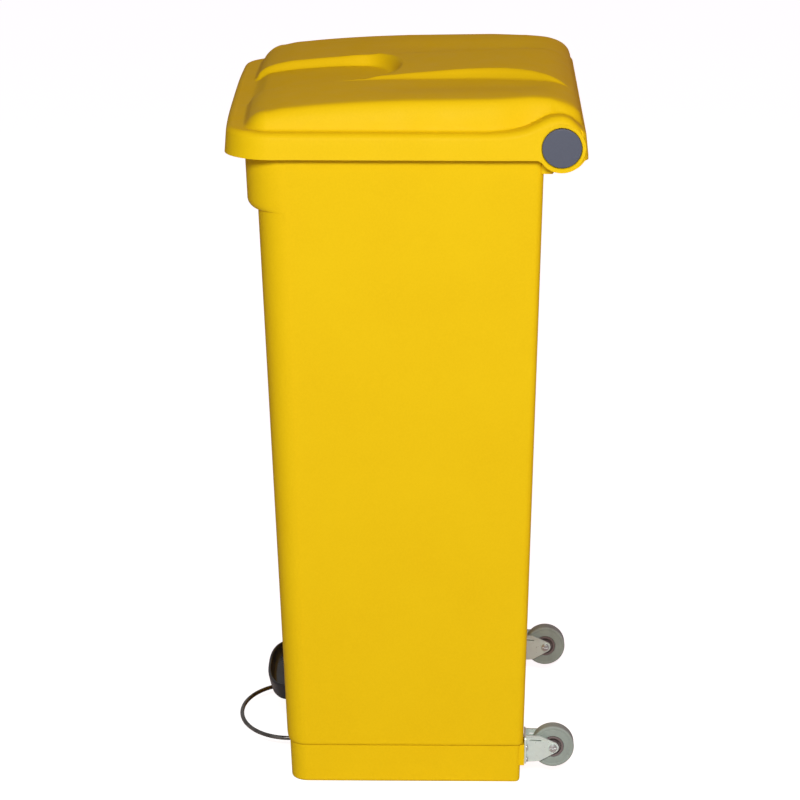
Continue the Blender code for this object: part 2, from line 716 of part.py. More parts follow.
def build_hoop():
    """The wire hoop round the pedal, and what holds its ends down inside the plinth."""
    reach = HOOP_SHOULDER - HOOP_FRONT
    points = [Vector((-HOOP_HALF_WIDTH, HOOP_END, HOOP_Z))]
    for step in range(25):
        angle = math.radians(-90 + 180 * step / 24)
        across = HOOP_HALF_WIDTH * math.sin(angle)
        points.append(Vector((across, HOOP_SHOULDER - reach * math.cos(angle), HOOP_Z)))
    points.append(Vector((HOOP_HALF_WIDTH, HOOP_END, HOOP_Z)))
    wire("stabiliser_hoop", points, HOOP_WIRE, STEEL)
    for side, word in SIDES:
        x, y = hoop_screw_place(side)
        middle = side * (HOOP_HALF_WIDTH - 0.003)
        clip = box(f"hoop_clip_{word}", (middle - 0.010, y - 0.006, 0.0053), (middle + 0.010, y + 0.006, 0.019), 0.001)
        cut(
            clip,
            rod_y("groove", HOOP_WIRE + GAP, y - 0.02, y + 0.02, side * HOOP_HALF_WIDTH, HOOP_Z),
            rod_z("hole", 0.0015 + GAP, 0.0, 0.03, x, y, 12),
        )
        finish(clip, NYLON)
        screw = rod_z(f"hoop_screw_{word}", 0.0015, 0.0020, 0.0200, x, y, 12)
        finish(join(screw, rod_z("head", 0.0030, 0.0193, 0.0213, x, y, 12)), ZINC)


def fork_leg(name, start, end):
    """One side of a castor's fork: tall at the plate, narrowing to a round end at the axle."""
    profile = [(PLATE_Y + 0.001, PLATE_LOW), (AXLE_Y - 0.016, PLATE_LOW + 0.001)]
    profile += arc((AXLE_Y, AXLE_Z), 0.0068, -62, 72, 8)
    profile += [(AXLE_Y - 0.016, PLATE_HIGH - 0.0005), (PLATE_Y + 0.001, PLATE_HIGH)]
    return plate_x(name, profile, start, end)


def build_tyre(name, x):
    """A solid tyre with rounded shoulders, turned about the axle."""
    low, high = HUB_RADIUS + GAP, WHEEL_RADIUS
    half = TYRE_HALF_WIDTH
    shoulder = 0.004
    profile = [(low, -half), (high - shoulder, -half)]
    profile += arc((high - shoulder, -half + shoulder), shoulder, -60, 0, 2)
    profile += arc((high - shoulder, half - shoulder), shoulder, 0, 60, 2)
    profile += [(high - shoulder, half), (low, half)]
    return turned(name, profile, x, 40, RUBBER)


def turned(name, profile, x, sides, look):
    """A solid of revolution about the axle, from a closed outline of (radius, distance along X) points."""
    mesh = bpy.data.meshes.new(name)
    count = len(profile)
    edges = [(i, (i + 1) % count) for i in range(count)]
    mesh.from_pydata([(radius, 0.0, along) for radius, along in reversed(profile)], edges, [])
    item = bpy.data.objects.new(name, mesh)
    item.location = (x, AXLE_Y, AXLE_Z)
    item.rotation_euler = (0, math.radians(90), 0)
    parts.objects.link(item)
    screw = item.modifiers.new("turn", "SCREW")
    screw.axis = "Z"
    screw.steps = sides
    screw.render_steps = sides
    screw.use_merge_vertices = True
    screw.merge_threshold = 1e-5
    return finish(item, look)


def build_castor(side, word):
    x = side * CASTOR_X
    bracket = box(
        f"castor_bracket_{word}",
        (x - PLATE_HALF_WIDTH, PLATE_Y, PLATE_LOW),
        (x + PLATE_HALF_WIDTH, PLATE_Y + FORK_SHEET, PLATE_HIGH),
    )
    legs = [
        fork_leg("leg", x + way * FORK_INNER, x + way * (FORK_INNER + FORK_SHEET)) for way in (-1, 1)
    ]
    join(bracket, *legs)
    cutters = [rod_x("axle_hole", 0.003 + GAP, x - 0.03, x + 0.03, AXLE_Y, AXLE_Z)]
    for screw_x, z in castor_screw_places(side):
        cutters.append(rod_y("screw_hole", 0.0020 + GAP, 0.13, 0.16, screw_x, z, 12))
    finish(cut(bracket, *cutters), ZINC)

    outer = FORK_INNER + FORK_SHEET + GAP
    bolt = rod_x(f"wheel_bolt_{word}", 0.003, x - outer - 0.006, x + outer + 0.001, AXLE_Y, AXLE_Z, 16)
    head = rod_x("head", 0.0048, x + outer, x + outer + 0.0032, AXLE_Y, AXLE_Z, 16, 0.0008)
    finish(join(bolt, head), ZINC)
    nut = rod_x(f"wheel_nut_{word}", 0.0055, x - outer - 0.0045, x - outer, AXLE_Y, AXLE_Z, 6)
    finish(cut(nut, rod_x("bore", 0.003 + GAP, x - 0.03, x, AXLE_Y, AXLE_Z, 16)), ZINC)
    bush_half = FORK_INNER - GAP
    turned(
        f"wheel_bush_{word}",
        [(0.003 + GAP, -bush_half), (0.0045, -bush_half), (0.0045, bush_half), (0.003 + GAP, bush_half)],
        x,
        20,
        STEEL,
    )
    hub_half = TYRE_HALF_WIDTH + 0.0005
    dish = 0.003
    bore = 0.0045 + GAP
    hub = [(bore, -hub_half), (0.0075, -hub_half), (0.0085, -hub_half + dish), (0.0112, -hub_half + dish)]
    hub += [(0.0118, -TYRE_HALF_WIDTH), (HUB_RADIUS, -TYRE_HALF_WIDTH)]
    hub += [(r, -along) for r, along in reversed(hub)]
    turned(f"wheel_hub_{word}", hub, x, 32, HUB)
    build_tyre(f"tyre_{word}", x)
    for index, (screw_x, z) in enumerate(castor_screw_places(side), 1):
        plate_face = PLATE_Y + FORK_SHEET + GAP
        screw = rod_y(f"castor_screw_{word}_{index}", 0.0020, 0.1310, plate_face + 0.001, screw_x, z, 12)
        head = rod_y("head", 0.0033, plate_face, plate_face + 0.0020, screw_x, z, 12)
        finish(join(screw, head), ZINC)


SIDES = ((-1, "left"), (1, "right"))

clear_scene()
parts = new_collection("pedal_bin")
build_tub()
build_plinth()
build_lid()
build_pedal()
build_push_rod()
build_hoop()
for side_sign, side_word in SIDES:
    build_hinge(side_sign, side_word)
    build_castor(side_sign, side_word)
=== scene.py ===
import json
import math

import bmesh
import bpy
import numpy as np
from mathutils import Matrix, Vector


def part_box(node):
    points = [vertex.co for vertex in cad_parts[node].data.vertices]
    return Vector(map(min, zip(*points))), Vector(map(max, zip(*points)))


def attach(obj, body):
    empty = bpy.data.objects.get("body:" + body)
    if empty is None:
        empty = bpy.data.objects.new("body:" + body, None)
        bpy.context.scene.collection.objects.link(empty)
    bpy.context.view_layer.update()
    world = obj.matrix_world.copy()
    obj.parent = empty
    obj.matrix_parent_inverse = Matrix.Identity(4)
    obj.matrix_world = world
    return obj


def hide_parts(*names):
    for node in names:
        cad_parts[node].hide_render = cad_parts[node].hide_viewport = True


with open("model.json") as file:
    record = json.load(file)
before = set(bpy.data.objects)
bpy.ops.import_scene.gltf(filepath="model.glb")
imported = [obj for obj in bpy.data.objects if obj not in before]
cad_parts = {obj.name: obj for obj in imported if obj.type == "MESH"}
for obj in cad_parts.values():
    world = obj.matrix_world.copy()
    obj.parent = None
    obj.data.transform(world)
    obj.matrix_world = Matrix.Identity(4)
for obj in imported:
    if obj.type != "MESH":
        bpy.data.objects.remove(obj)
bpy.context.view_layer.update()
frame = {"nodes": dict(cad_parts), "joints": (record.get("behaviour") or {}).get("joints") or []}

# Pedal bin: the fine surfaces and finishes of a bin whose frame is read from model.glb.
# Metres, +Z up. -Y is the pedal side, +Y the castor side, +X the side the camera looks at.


def middle(node):
    low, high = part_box(node)
    return (low + high) / 2


def size(node):
    low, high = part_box(node)
    return high - low


SIDES = ((-1, "left"), (1, "right"))
JOINTS = {joint["name"]: joint for joint in frame["joints"]}

# Driving places and sizes, read from the frame
LID_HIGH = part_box("lid_shell")[1]
TUB_LOW, TUB_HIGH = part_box("tub")
HINGE = Vector(JOINTS["lid_hinge"]["pos_m"])
PIVOT = Vector(JOINTS["pedal_hinge"]["pos_m"])
WHEEL = Vector(JOINTS["wheel_right_spin"]["pos_m"])
HINGE_AXIS, PIVOT_AXIS, WHEEL_AXIS = ((0, place.y, place.z) for place in (HINGE, PIVOT, WHEEL))

# Tub and plinth walls: each face leans out by its draft for every metre of height
TUB_WALL = 0.004
TUB_FLOOR = 0.100
SIDE_DRAFT = 0.044
FRONT_DRAFT = 0.044
REAR_DRAFT = 0.0228
HALF_WIDTH_AT_FLOOR = 0.2055
FRONT_AT_FLOOR = 0.136
REAR_AT_FLOOR = 0.1386
FRONT_CORNER_LOW = 0.023
FRONT_CORNER_HIGH = 0.036
REAR_CORNER = 0.0085
BAND_BOTTOM = 0.6925
BAND_DEPTH = 0.012
BAND_RISE = 0.0105
PLINTH_TOP = TUB_LOW.z
PLINTH_INSET = 0.0028
NICHE_HALF_WIDTH = 0.090
NICHE_BOTTOM = 0.008
NICHE_TOP = 0.150
NICHE_DEPTH = 0.026
CHANNEL_HALF_WIDTH = 0.018
CHANNEL_DEPTH = 0.016
# Radii of the holes for the hinge pins and for the castor screws
PIN_HOLE = 0.0073
SCREW_HOLE = 0.0023

# Lid outline at the top of its skirt, and how far the skirt flares below it
LID_HALF = 0.2490
LID_FRONT = -0.2048
LID_REAR = 0.2025
LID_WALL = 0.003
SHOULDER = 0.787
SKIRT_BOTTOM = 0.757
FRONT_RADIUS = 0.050
REAR_RADIUS = 0.012
EDGE_RADIUS = 0.0072
FRONT_BOW = 0.0050
CROWN_RISE = 0.032
CROWN_SLOPE = 0.016
BOSS_RADIUS = 0.028
CAP_RADIUS = size("hinge_cap_right").z / 2 - 0.0003
CUP_DEPTH = 0.0070


# ---- numbers and curves


def ease(t):
    """A smooth step from 0 to 1."""
    t = np.clip(t, 0.0, 1.0)
    return t * t * (3.0 - 2.0 * t)


def through(points, x):
    """A smooth curve through the points that never swings past them, at x."""
    px, py = np.array(points, float).T
    gap = np.diff(px)
    rate = np.diff(py) / gap
    slope = np.zeros(len(px))
    slope[0], slope[-1] = rate[0], rate[-1]
    for i in range(1, len(px) - 1):
        if rate[i - 1] * rate[i] > 0:
            first, second = 2 * gap[i] + gap[i - 1], gap[i] + 2 * gap[i - 1]
            slope[i] = (first + second) / (first / rate[i - 1] + second / rate[i])
    x = np.clip(x, px[0], px[-1])
    i = np.clip(np.searchsorted(px, x) - 1, 0, len(px) - 2)
    t = (x - px[i]) / gap[i]
    value = (1 + 2 * t) * (1 - t) ** 2 * py[i] + t * (1 - t) ** 2 * gap[i] * slope[i]
    return value + t * t * (3 - 2 * t) * py[i + 1] + t * t * (t - 1) * gap[i] * slope[i + 1]


def smooth_max(a, b, reach):
    """The larger of two heights, with a fillet where they cross."""
    share = np.clip(0.5 + 0.5 * (a - b) / reach, 0.0, 1.0)
    return b * (1 - share) + a * share + reach * share * (1 - share)


def arc(centre, radius, first, last, steps):
    """Points on a circle between two angles in degrees."""
    angles = [math.radians(first + (last - first) * i / steps) for i in range(steps + 1)]
    return [(centre[0] + radius * math.cos(a), centre[1] + radius * math.sin(a)) for a in angles]


def quarter(steps):
    """The sine and cosine of angles from 0 to 90 degrees."""
    angles = [math.radians(90 * step / steps) for step in range(steps + 1)]
    return [(math.sin(angle), math.cos(angle)) for angle in angles]


def rectangle(left, right, low, high):
    return [(left, low), (right, low), (right, high), (left, high)]


def rounded(outline, radius, steps=5):
    """A closed outline with each corner rounded, as far as its sides allow."""
    points = [Vector(p) for p in outline]
    count = len(points)
    made = []
    for i, corner in enumerate(points):
        before, after = points[i - 1] - corner, points[(i + 1) % count] - corner
        half = before.angle(after) / 2
        reach = min(radius / math.tan(half), before.length * 0.49, after.length * 0.49)
        start, end = corner + before.normalized() * reach, corner + after.normalized() * reach
        for step in range(steps + 1):
            t = step / steps
            made.append(tuple(start * (1 - t) ** 2 + corner * 2 * t * (1 - t) + end * t * t))
    return made


# ---- meshes


def new_object(name, data):
    item = bpy.data.objects.new(name, data)
    bpy.context.scene.collection.objects.link(item)
    return item


def from_bmesh(name, bm):
    bmesh.ops.recalc_face_normals(bm, faces=bm.faces)
    mesh = bpy.data.meshes.new(name)
    bm.to_mesh(mesh)
    bm.free()
    return new_object(name, mesh)


def bridge(bm, first, second):
    """Faces between two closed loops that have the same number of points."""
    for i in range(len(first)):
        j = (i + 1) % len(first)
        bm.faces.new((first[i], first[j], second[j], second[i]))


def loft(name, rings):
    """A closed solid through rings that have the same number of points."""
    bm = bmesh.new()
    loops = [[bm.verts.new(point) for point in ring] for ring in rings]
    for lower, upper in zip(loops, loops[1:]):
        bridge(bm, lower, upper)
    bm.faces.new(loops[0][::-1])
    bm.faces.new(loops[-1])
    return from_bmesh(name, bm)


def placed(axis, along, others):
    """A point from its place along an axis and its places along the other two."""
    point = list(others)
    point.insert("XYZ".index(axis), along)
    return Vector(point)


def extruded(name, outline, axis, start, end):
    """A solid with a flat outline, from start to end along an axis."""
    return loft(name, [[placed(axis, along, point) for point in outline] for along in (start, end)])


def turned(name, profile, centre, axis="X", sides=64):
    """A solid of revolution from a closed outline of (radius, distance along the axis) points."""
    bm = bmesh.new()
    loops = []
    for step in range(sides):
        angle = 2 * math.pi * step / sides
        ring = [placed(axis, s, (r * math.cos(angle), r * math.sin(angle))) for r, s in profile]
        loops.append([bm.verts.new(Vector(centre) + point) for point in ring])
    for step in range(sides):
        bridge(bm, loops[step], loops[(step + 1) % sides])
    bmesh.ops.remove_doubles(bm, verts=bm.verts, dist=1e-6)
    return from_bmesh(name, bm)


def solid_turned(name, profile, centre, axis="X", sides=64):
    """A solid of revolution whose outline starts and ends on the axis."""
    on_axis = [(0.0, profile[0][1])] + profile + [(0.0, profile[-1][1])]
    item = turned(name, on_axis, centre, axis, sides)
    bm = bmesh.new()
    bm.from_mesh(item.data)
    bmesh.ops.dissolve_degenerate(bm, edges=bm.edges, dist=1e-7)
    bmesh.ops.delete(bm, geom=[e for e in bm.edges if not e.link_faces], context="EDGES")
    bmesh.ops.recalc_face_normals(bm, faces=bm.faces)
    bm.to_mesh(item.data)
    bm.free()
    return item


def rod(radius, start, end, centre, axis="X", sides=40):
    """A plain cylinder, mostly to cut a hole with."""
    return solid_turned("rod", [(radius, start), (radius, end)], centre, axis, sides)


def tube(name, points, radius):
    """A round wire through points, as a closed mesh."""
    curve = bpy.data.curves.new(name + "_path", "CURVE")
    curve.dimensions = "3D"
    curve.bevel_depth = radius
    curve.bevel_resolution = 8
    curve.use_fill_caps = True
    spline = curve.splines.new("POLY")
    spline.points.add(len(points) - 1)
    for place, point in zip(spline.points, points):
        place.co = (*point, 1.0)
    drawn = new_object(name + "_path", curve)
    bpy.context.view_layer.update()
    mesh = bpy.data.meshes.new_from_object(drawn.evaluated_get(bpy.context.evaluated_depsgraph_get()))
    bm = bmesh.new()
    bm.from_mesh(mesh)
    bmesh.ops.remove_doubles(bm, verts=bm.verts, dist=1e-6)
    bpy.data.objects.remove(drawn, do_unlink=True)
    return from_bmesh(name, bm)


def combine(item, others, operation):
    """Cuts the others out of a piece, or joins them to it, and removes them."""
    for other in others:
        modifier = item.modifiers.new(operation.lower(), "BOOLEAN")
        modifier.operation = operation
        modifier.object = other
        modifier.solver = "MANIFOLD"
    apply_modifiers(item)
    for other in others:
        bpy.data.objects.remove(other, do_unlink=True)


def apply_modifiers(item):
    bpy.context.view_layer.update()
    evaluated = item.evaluated_get(bpy.context.evaluated_depsgraph_get())
    mesh = bpy.data.meshes.new_from_object(evaluated)
    item.modifiers.clear()
    item.data = mesh


def cut(item, *others):
    combine(item, others, "DIFFERENCE")


def join(item, *others):
    combine(item, others, "UNION")


def round_edges(item, width, steps=3, angle=32):
    """Rounds every edge that is sharper than the angle."""
    bm = bmesh.new()
    bm.from_mesh(item.data)
    bmesh.ops.remove_doubles(bm, verts=bm.verts, dist=2e-6)
    bmesh.ops.dissolve_limit(
        bm, angle_limit=math.radians(0.6), verts=bm.verts, edges=bm.edges, use_dissolve_boundaries=False
    )
    bm.to_mesh(item.data)
    bm.free()
    bevel = item.modifiers.new("rounded edges", "BEVEL")
    bevel.width = width
    bevel.segments = steps
    bevel.limit_method = "ANGLE"
    bevel.angle_limit = math.radians(angle)
    bevel.use_clamp_overlap = True
    bevel.miter_outer = "MITER_ARC"
    apply_modifiers(item)


def coat(item, material):
    item.data.materials.clear()
    item.data.materials.append(material)


def dress(item, material, body, node, sharp=38):
    """Shades a piece, gives it its material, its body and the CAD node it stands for."""
    coat(item, material)
    item.data.shade_smooth()
    item.data.set_sharp_from_angle(angle=math.radians(sharp))
    weighted = item.modifiers.new("even shading", "WEIGHTED_NORMAL")
    weighted.keep_sharp = True
    weighted.weight = 60
    apply_modifiers(item)
    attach(item, body)
    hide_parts(node)


# ---- materials


def mixed(tree, share, first, second):
    """Mixes two colours, each a colour or a socket, by a share."""
    node = tree.nodes.new("ShaderNodeMix")
    node.data_type = "RGBA"
    tree.links.new(share, node.inputs["Factor"])
    for socket, colour in ((node.inputs[6], first), (node.inputs[7], second)):
        if isinstance(colour, tuple):
            socket.default_value = (*colour, 1.0)
        else:
            tree.links.new(colour, socket)
    return node.outputs[2]


class Nodes:
    """Short names for building a material's nodes."""

    def __init__(self, name):
        self.material = bpy.data.materials.new(name)
        self.material.use_nodes = True
        self.tree = self.material.node_tree
        self.shader = self.tree.nodes["Principled BSDF"]
        self.where = self.tree.nodes.new("ShaderNodeTexCoord").outputs["Object"]

    def set(self, **values):
        for name, value in values.items():
            self.shader.inputs[name.replace("_", " ")].default_value = value

    def link(self, output, name):
        self.tree.links.new(output, self.shader.inputs[name])

    def add(self, kind, links, **values):
        """A new node with some inputs linked and some set."""
        node = self.tree.nodes.new("ShaderNode" + kind)
        for name, value in values.items():
            node.inputs[name.replace("_", " ")].default_value = value
        for name, output in links.items():
            self.tree.links.new(output, node.inputs[name])
        return node

    def stretched(self, x, y, z):
        return self.add("Mapping", {"Vector": self.where}, Scale=(x, y, z)).outputs["Vector"]

    def noise(self, scale, detail=3.0, rough=0.5, where=None):
        links = {"Vector": where or self.where}
        return self.add("TexNoise", links, Scale=scale, Detail=detail, Roughness=rough).outputs["Fac"]

    def cells(self, scale):
        node = self.add("TexVoronoi", {"Vector": self.where}, Scale=scale)
        node.feature = "SMOOTH_F1"
        return node.outputs["Distance"]

    def spread(self, value, low, high, start=0.0, end=1.0):
        """Takes a value between low and high to between start and end."""
        limits = {"From Min": low, "From Max": high, "To Min": start, "To Max": end}
        return self.add("MapRange", {"Value": value}, **limits).outputs["Result"]

    def mix(self, share, first, second):
        return mixed(self.tree, share, first, second)

    def times(self, value, factor):
        node = self.add("Math", {0: value})
        node.operation = "MULTIPLY"
        node.inputs[1].default_value = factor
        return node.outputs[0]

    def bump(self, height, distance, strength=1.0, under=None):
        links = {"Height": height} if under is None else {"Height": height, "Normal": under}
        return self.add("Bump", links, Distance=distance, Strength=strength).outputs["Normal"]


def moulded(name, colour, deep, roughness, grain, depth, waves=0.0, shine=0.09):
    """Moulded plastic: mottled colour, a fine spark-eroded grain, slow sink waves and a few rubbed spots."""
    n = Nodes(name)
    blotch = n.spread(n.noise(9.0, 4.0, 0.6), 0.3, 0.7)
    speck = n.spread(n.noise(420.0, 2.0), 0.35, 0.65)
    tone = n.mix(blotch, colour, deep)
    lighter = tuple(min(1.0, c * 1.05 + 0.004) for c in colour)
    n.link(n.mix(n.times(speck, 0.35), tone, lighter), "Base Color")
    rubbed = n.spread(n.noise(26.0, 5.0, 0.65), 0.35, 0.75, roughness + 0.05, roughness - 0.07)
    n.link(rubbed, "Roughness")
    fine = n.bump(n.cells(grain), depth, 0.55)
    finer = n.bump(n.noise(grain * 0.55, 3.0, 0.6), depth, 0.45, fine)
    slow = n.bump(n.noise(7.0, 1.0), waves, 1.0, finer) if waves else finer
    n.link(slow, "Normal")
    n.set(Specular_IOR_Level=shine)
    return n.material


def glossy_black(name):
    """Black plastic with a soft gloss, dusty in patches."""
    n = Nodes(name)
    dust = n.spread(n.noise(55.0, 5.0, 0.65), 0.45, 0.8)
    n.link(n.mix(n.times(dust, 0.4), (0.026, 0.026, 0.028), (0.048, 0.046, 0.046)), "Base Color")
    n.link(n.spread(n.noise(38.0, 4.0), 0.3, 0.7, 0.26, 0.36), "Roughness")
    n.link(n.bump(n.noise(900.0, 2.0), 0.00004, 0.5), "Normal")
    n.set(Specular_IOR_Level=0.5)
    return n.material


def plated(name, colour, dull, roughness, passivated=0.0):
    """Zinc-plated steel: a clouded mirror with fine rolling lines and dull patches."""
    n = Nodes(name)
    cloud = n.spread(n.noise(130.0, 5.0, 0.6), 0.35, 0.7)
    n.link(n.mix(cloud, colour, dull), "Base Color")
    n.link(n.spread(n.noise(190.0, 4.0, 0.6), 0.3, 0.7, roughness - 0.07, roughness + 0.12), "Roughness")
    lines = n.noise(60.0, 3.0, 0.6, n.stretched(1.0, 14.0, 14.0))
    n.link(n.bump(lines, 0.00002, 0.3, n.bump(n.noise(900.0, 2.0), 0.00001, 0.3)), "Normal")
    n.set(Metallic=1.0 - passivated)
    return n.material


def drawn_steel(name):
    """Dark drawn wire: a lighter steel tone, stained in random patches."""
    n = Nodes(name)
    stain = n.spread(n.noise(75.0, 5.0, 0.65), 0.4, 0.7)
    n.link(n.mix(stain, (0.30, 0.285, 0.265), (0.12, 0.11, 0.10)), "Base Color")
    n.link(n.spread(n.noise(160.0, 3.0), 0.3, 0.7, 0.22, 0.40), "Roughness")
    n.link(n.bump(n.noise(1100.0, 2.0), 0.00005, 0.5), "Normal")
    n.set(Metallic=1.0)
    return n.material


def rubber(name):
    """Grey tyre rubber: chalky, with scuffs and a fine tooth."""
    n = Nodes(name)
    chalk = n.spread(n.noise(90.0, 5.0, 0.7), 0.35, 0.7)
    scuff = n.spread(n.noise(40.0, 6.0, 0.7), 0.52, 0.68)
    base = n.mix(chalk, (0.350, 0.430, 0.372), (0.310, 0.380, 0.330))
    n.link(n.mix(n.times(scuff, 0.5), base, (0.215, 0.255, 0.222)), "Base Color")
    n.link(n.spread(n.noise(300.0, 3.0), 0.3, 0.7, 0.52, 0.70), "Roughness")
    n.link(n.bump(n.noise(1500.0, 3.0), 0.00012, 0.5), "Normal")
    n.set(Specular_IOR_Level=0.35)
    return n.material


def make_materials():
    yellow = (0.900, 0.635, 0.0040)
    grey, grey_deep = (0.105, 0.124, 0.160), (0.095, 0.113, 0.148)
    return {
        "body": moulded("yellow_body_plastic", yellow, (0.878, 0.606, 0.0034), 0.58, 1500.0, 0.00006, 0.0003),
        "lid": moulded("yellow_lid_plastic", yellow, (0.882, 0.615, 0.0037), 0.55, 1500.0, 0.00005, 0.0002),
        "cap": moulded("grey_cap_plastic", grey, grey_deep, 0.36, 1800.0, 0.00004, shine=0.3),
        "nylon": moulded("nylon_plastic", (0.70, 0.68, 0.62), (0.64, 0.62, 0.56), 0.48, 1700.0, 0.00004),
        "hub": moulded("hub_plastic", (0.215, 0.180, 0.172), (0.180, 0.150, 0.145), 0.45, 1700.0, 0.00005),
        "pad": glossy_black("black_pad_plastic"),
        "zinc": plated("zinc_plated_sheet", (0.76, 0.90, 0.83), (0.72, 0.85, 0.78), 0.32, 0.72),
        "bolt": plated("zinc_plated_bolt", (0.68, 0.70, 0.70), (0.50, 0.51, 0.50), 0.28, 0.25),
        "wire": drawn_steel("drawn_steel_wire"),
        "tyre": rubber("grey_tyre_rubber"),
    }


# ---- tub and plinth


def rounded_ring(half_width, front, rear, front_radius, rear_radius, z, front_steps=20, rear_steps=5):
    """A rounded rectangle at height z, with its own radius at the front and at the rear."""
    ring = []
    for side, y, radius, first, steps in (
        (1, rear - rear_radius, rear_radius, 0, rear_steps),
        (-1, rear - rear_radius, rear_radius, 90, rear_steps),
        (-1, front + front_radius, front_radius, 180, front_steps),
        (1, front + front_radius, front_radius, 270, front_steps),
    ):
        centre = (side * (half_width - radius), y)
        ring += [(x, y, z) for x, y in arc(centre, radius, first, first + 90, steps)]
    return ring


def tub_ring(z, inset=0.0, band=0.0):
    """The tub's outline at height z, moved in by inset, and out by band at the front."""
    corner = FRONT_CORNER_LOW + (FRONT_CORNER_HIGH - FRONT_CORNER_LOW) * z / TUB_HIGH.z + 0.8 * band
    return rounded_ring(
        HALF_WIDTH_AT_FLOOR + SIDE_DRAFT * z - inset,
        -(FRONT_AT_FLOOR + FRONT_DRAFT * z + band) + inset,
        REAR_AT_FLOOR + REAR_DRAFT * z - inset,
        corner - inset,
        max(REAR_CORNER - inset, 0.0015),
        z,
    )


def tub_front(z):
    return -(FRONT_AT_FLOOR + FRONT_DRAFT * z)


def tub_rear(z):
    return REAR_AT_FLOOR + REAR_DRAFT * z


def front_band(start, inset, top):
    """Rings of the rim band: a rounded lower edge, then straight up."""
    rings = [tub_ring(start + BAND_RISE * (1 - cos), inset, BAND_DEPTH * sin) for sin, cos in quarter(12)]
    return rings + [tub_ring(top, inset, BAND_DEPTH)]


def niche(name, grow, low=None):
    """The space for the foot, with a coved roof, larger by grow on every side but the open front."""
    back = tub_front(NICHE_BOTTOM) + NICHE_DEPTH + grow
    low = NICHE_BOTTOM - grow if low is None else low
    top = NICHE_TOP + grow
    slope = 0.030
    outline = [(-0.30, low), (back, low), (back, top - slope)]
    for sin, cos in quarter(8)[1:]:
        outline.append((back - NICHE_DEPTH * (1 - cos), top - slope * (1 - sin)))
    outline.append((-0.30, top))
    width = NICHE_HALF_WIDTH + grow
    return extruded(name, outline, "X", -width, width)


def channel(name, grow, low):
    """The push rod's channel down the middle of the rear wall."""
    width = CHANNEL_HALF_WIDTH + grow
    rings = []
    for z in (low, TUB_HIGH.z + 0.02):
        front = tub_rear(z) - CHANNEL_DEPTH - grow
        rings.append([(-width, front, z), (width, front, z), (width, 0.30, z), (-width, 0.30, z)])
    return loft(name, rings)


def lever_slot(name, low, high):
    back = tub_front(NICHE_BOTTOM) + NICHE_DEPTH
    outline = rounded(rectangle(-0.010, 0.010, low, high), 0.004)
    return extruded(name, outline, "Y", back - 0.02, back + 0.02)


def hinge_bracket(name, side):
    """A bracket behind the rim that carries one end of the lid's hinge."""
    outline = [(0.1530, 0.7393), (0.1650, 0.7393)]
    outline += arc((HINGE.y, HINGE.z), 0.013, -50, 100, 24)
    outline += [(0.1530, 0.7800)]
    near, far = 0.2140, 0.2375
    return extruded(name, outline, "X", side * near, side * far)


def lower_edge(rise, height, depth):
    """How far a rounded lower edge of that height and depth has drawn in, at a rise above its bottom."""
    left = max(1 - rise / height, 0.0)
    return depth * (1 - math.sqrt(1 - left * left))


def build_tub(look):
    """The tub, hollow from above and below, with its niche, channel and hinge brackets."""
    rings = []
    for rise in (0.0, 0.0002, 0.0006, 0.0012, 0.0020, 0.0030, 0.0040, 0.0060, 0.0085, 0.0115):
        side, front = lower_edge(rise, 0.0040, 0.0030), lower_edge(rise, 0.0125, 0.0036)
        rings.append(tub_ring(PLINTH_TOP + rise, side, side - front))
    rings += front_band(BAND_BOTTOM, 0.0, TUB_HIGH.z - 0.0012)
    rings.append(tub_ring(TUB_HIGH.z - 0.0004, 0.0004, BAND_DEPTH))
    rings.append(tub_ring(TUB_HIGH.z, 0.0012, BAND_DEPTH))
    tub = loft("tub_visual", rings)

    cove = 0.012
    inner = [tub_ring(TUB_FLOOR + cove * (1 - cos), TUB_WALL + cove * (1 - sin)) for sin, cos in quarter(6)]
    inner += front_band(BAND_BOTTOM + TUB_WALL, TUB_WALL, TUB_HIGH.z - 0.0010)
    inner.append(tub_ring(TUB_HIGH.z + 0.001, TUB_WALL - 0.0012, BAND_DEPTH))
    cavity = loft("cavity", inner)
    cut(cavity, channel("cavity_channel", TUB_WALL, 0.02), niche("cavity_niche", TUB_WALL))

    under = loft("under", [tub_ring(z, TUB_WALL) for z in (PLINTH_TOP - 0.01, TUB_FLOOR - TUB_WALL)])
    cut(under, niche("under_niche", TUB_WALL))
    join(tub, *[hinge_bracket("bracket", side) for side, _ in SIDES])
    bores = [rod(PIN_HOLE, side * 0.20, side * 0.24, HINGE_AXIS) for side, _ in SIDES]
    cut(tub, cavity, under, niche("tub_niche", 0.0), channel("tub_channel", 0.0, 0.02))
    cut(tub, lever_slot("tub_slot", 0.03, 0.086), *bores)
    round_edges(tub, 0.0016)
    dress(tub, look["body"], "bin_body", "tub")


def castor_screw_places(side):
    """Where the four screws of a castor's plate are, as (x, z)."""
    for number in (1, 2, 3, 4):
        place = middle(f"castor_screw_{'left' if side < 0 else 'right'}_{number}")
        yield place.x, place.z


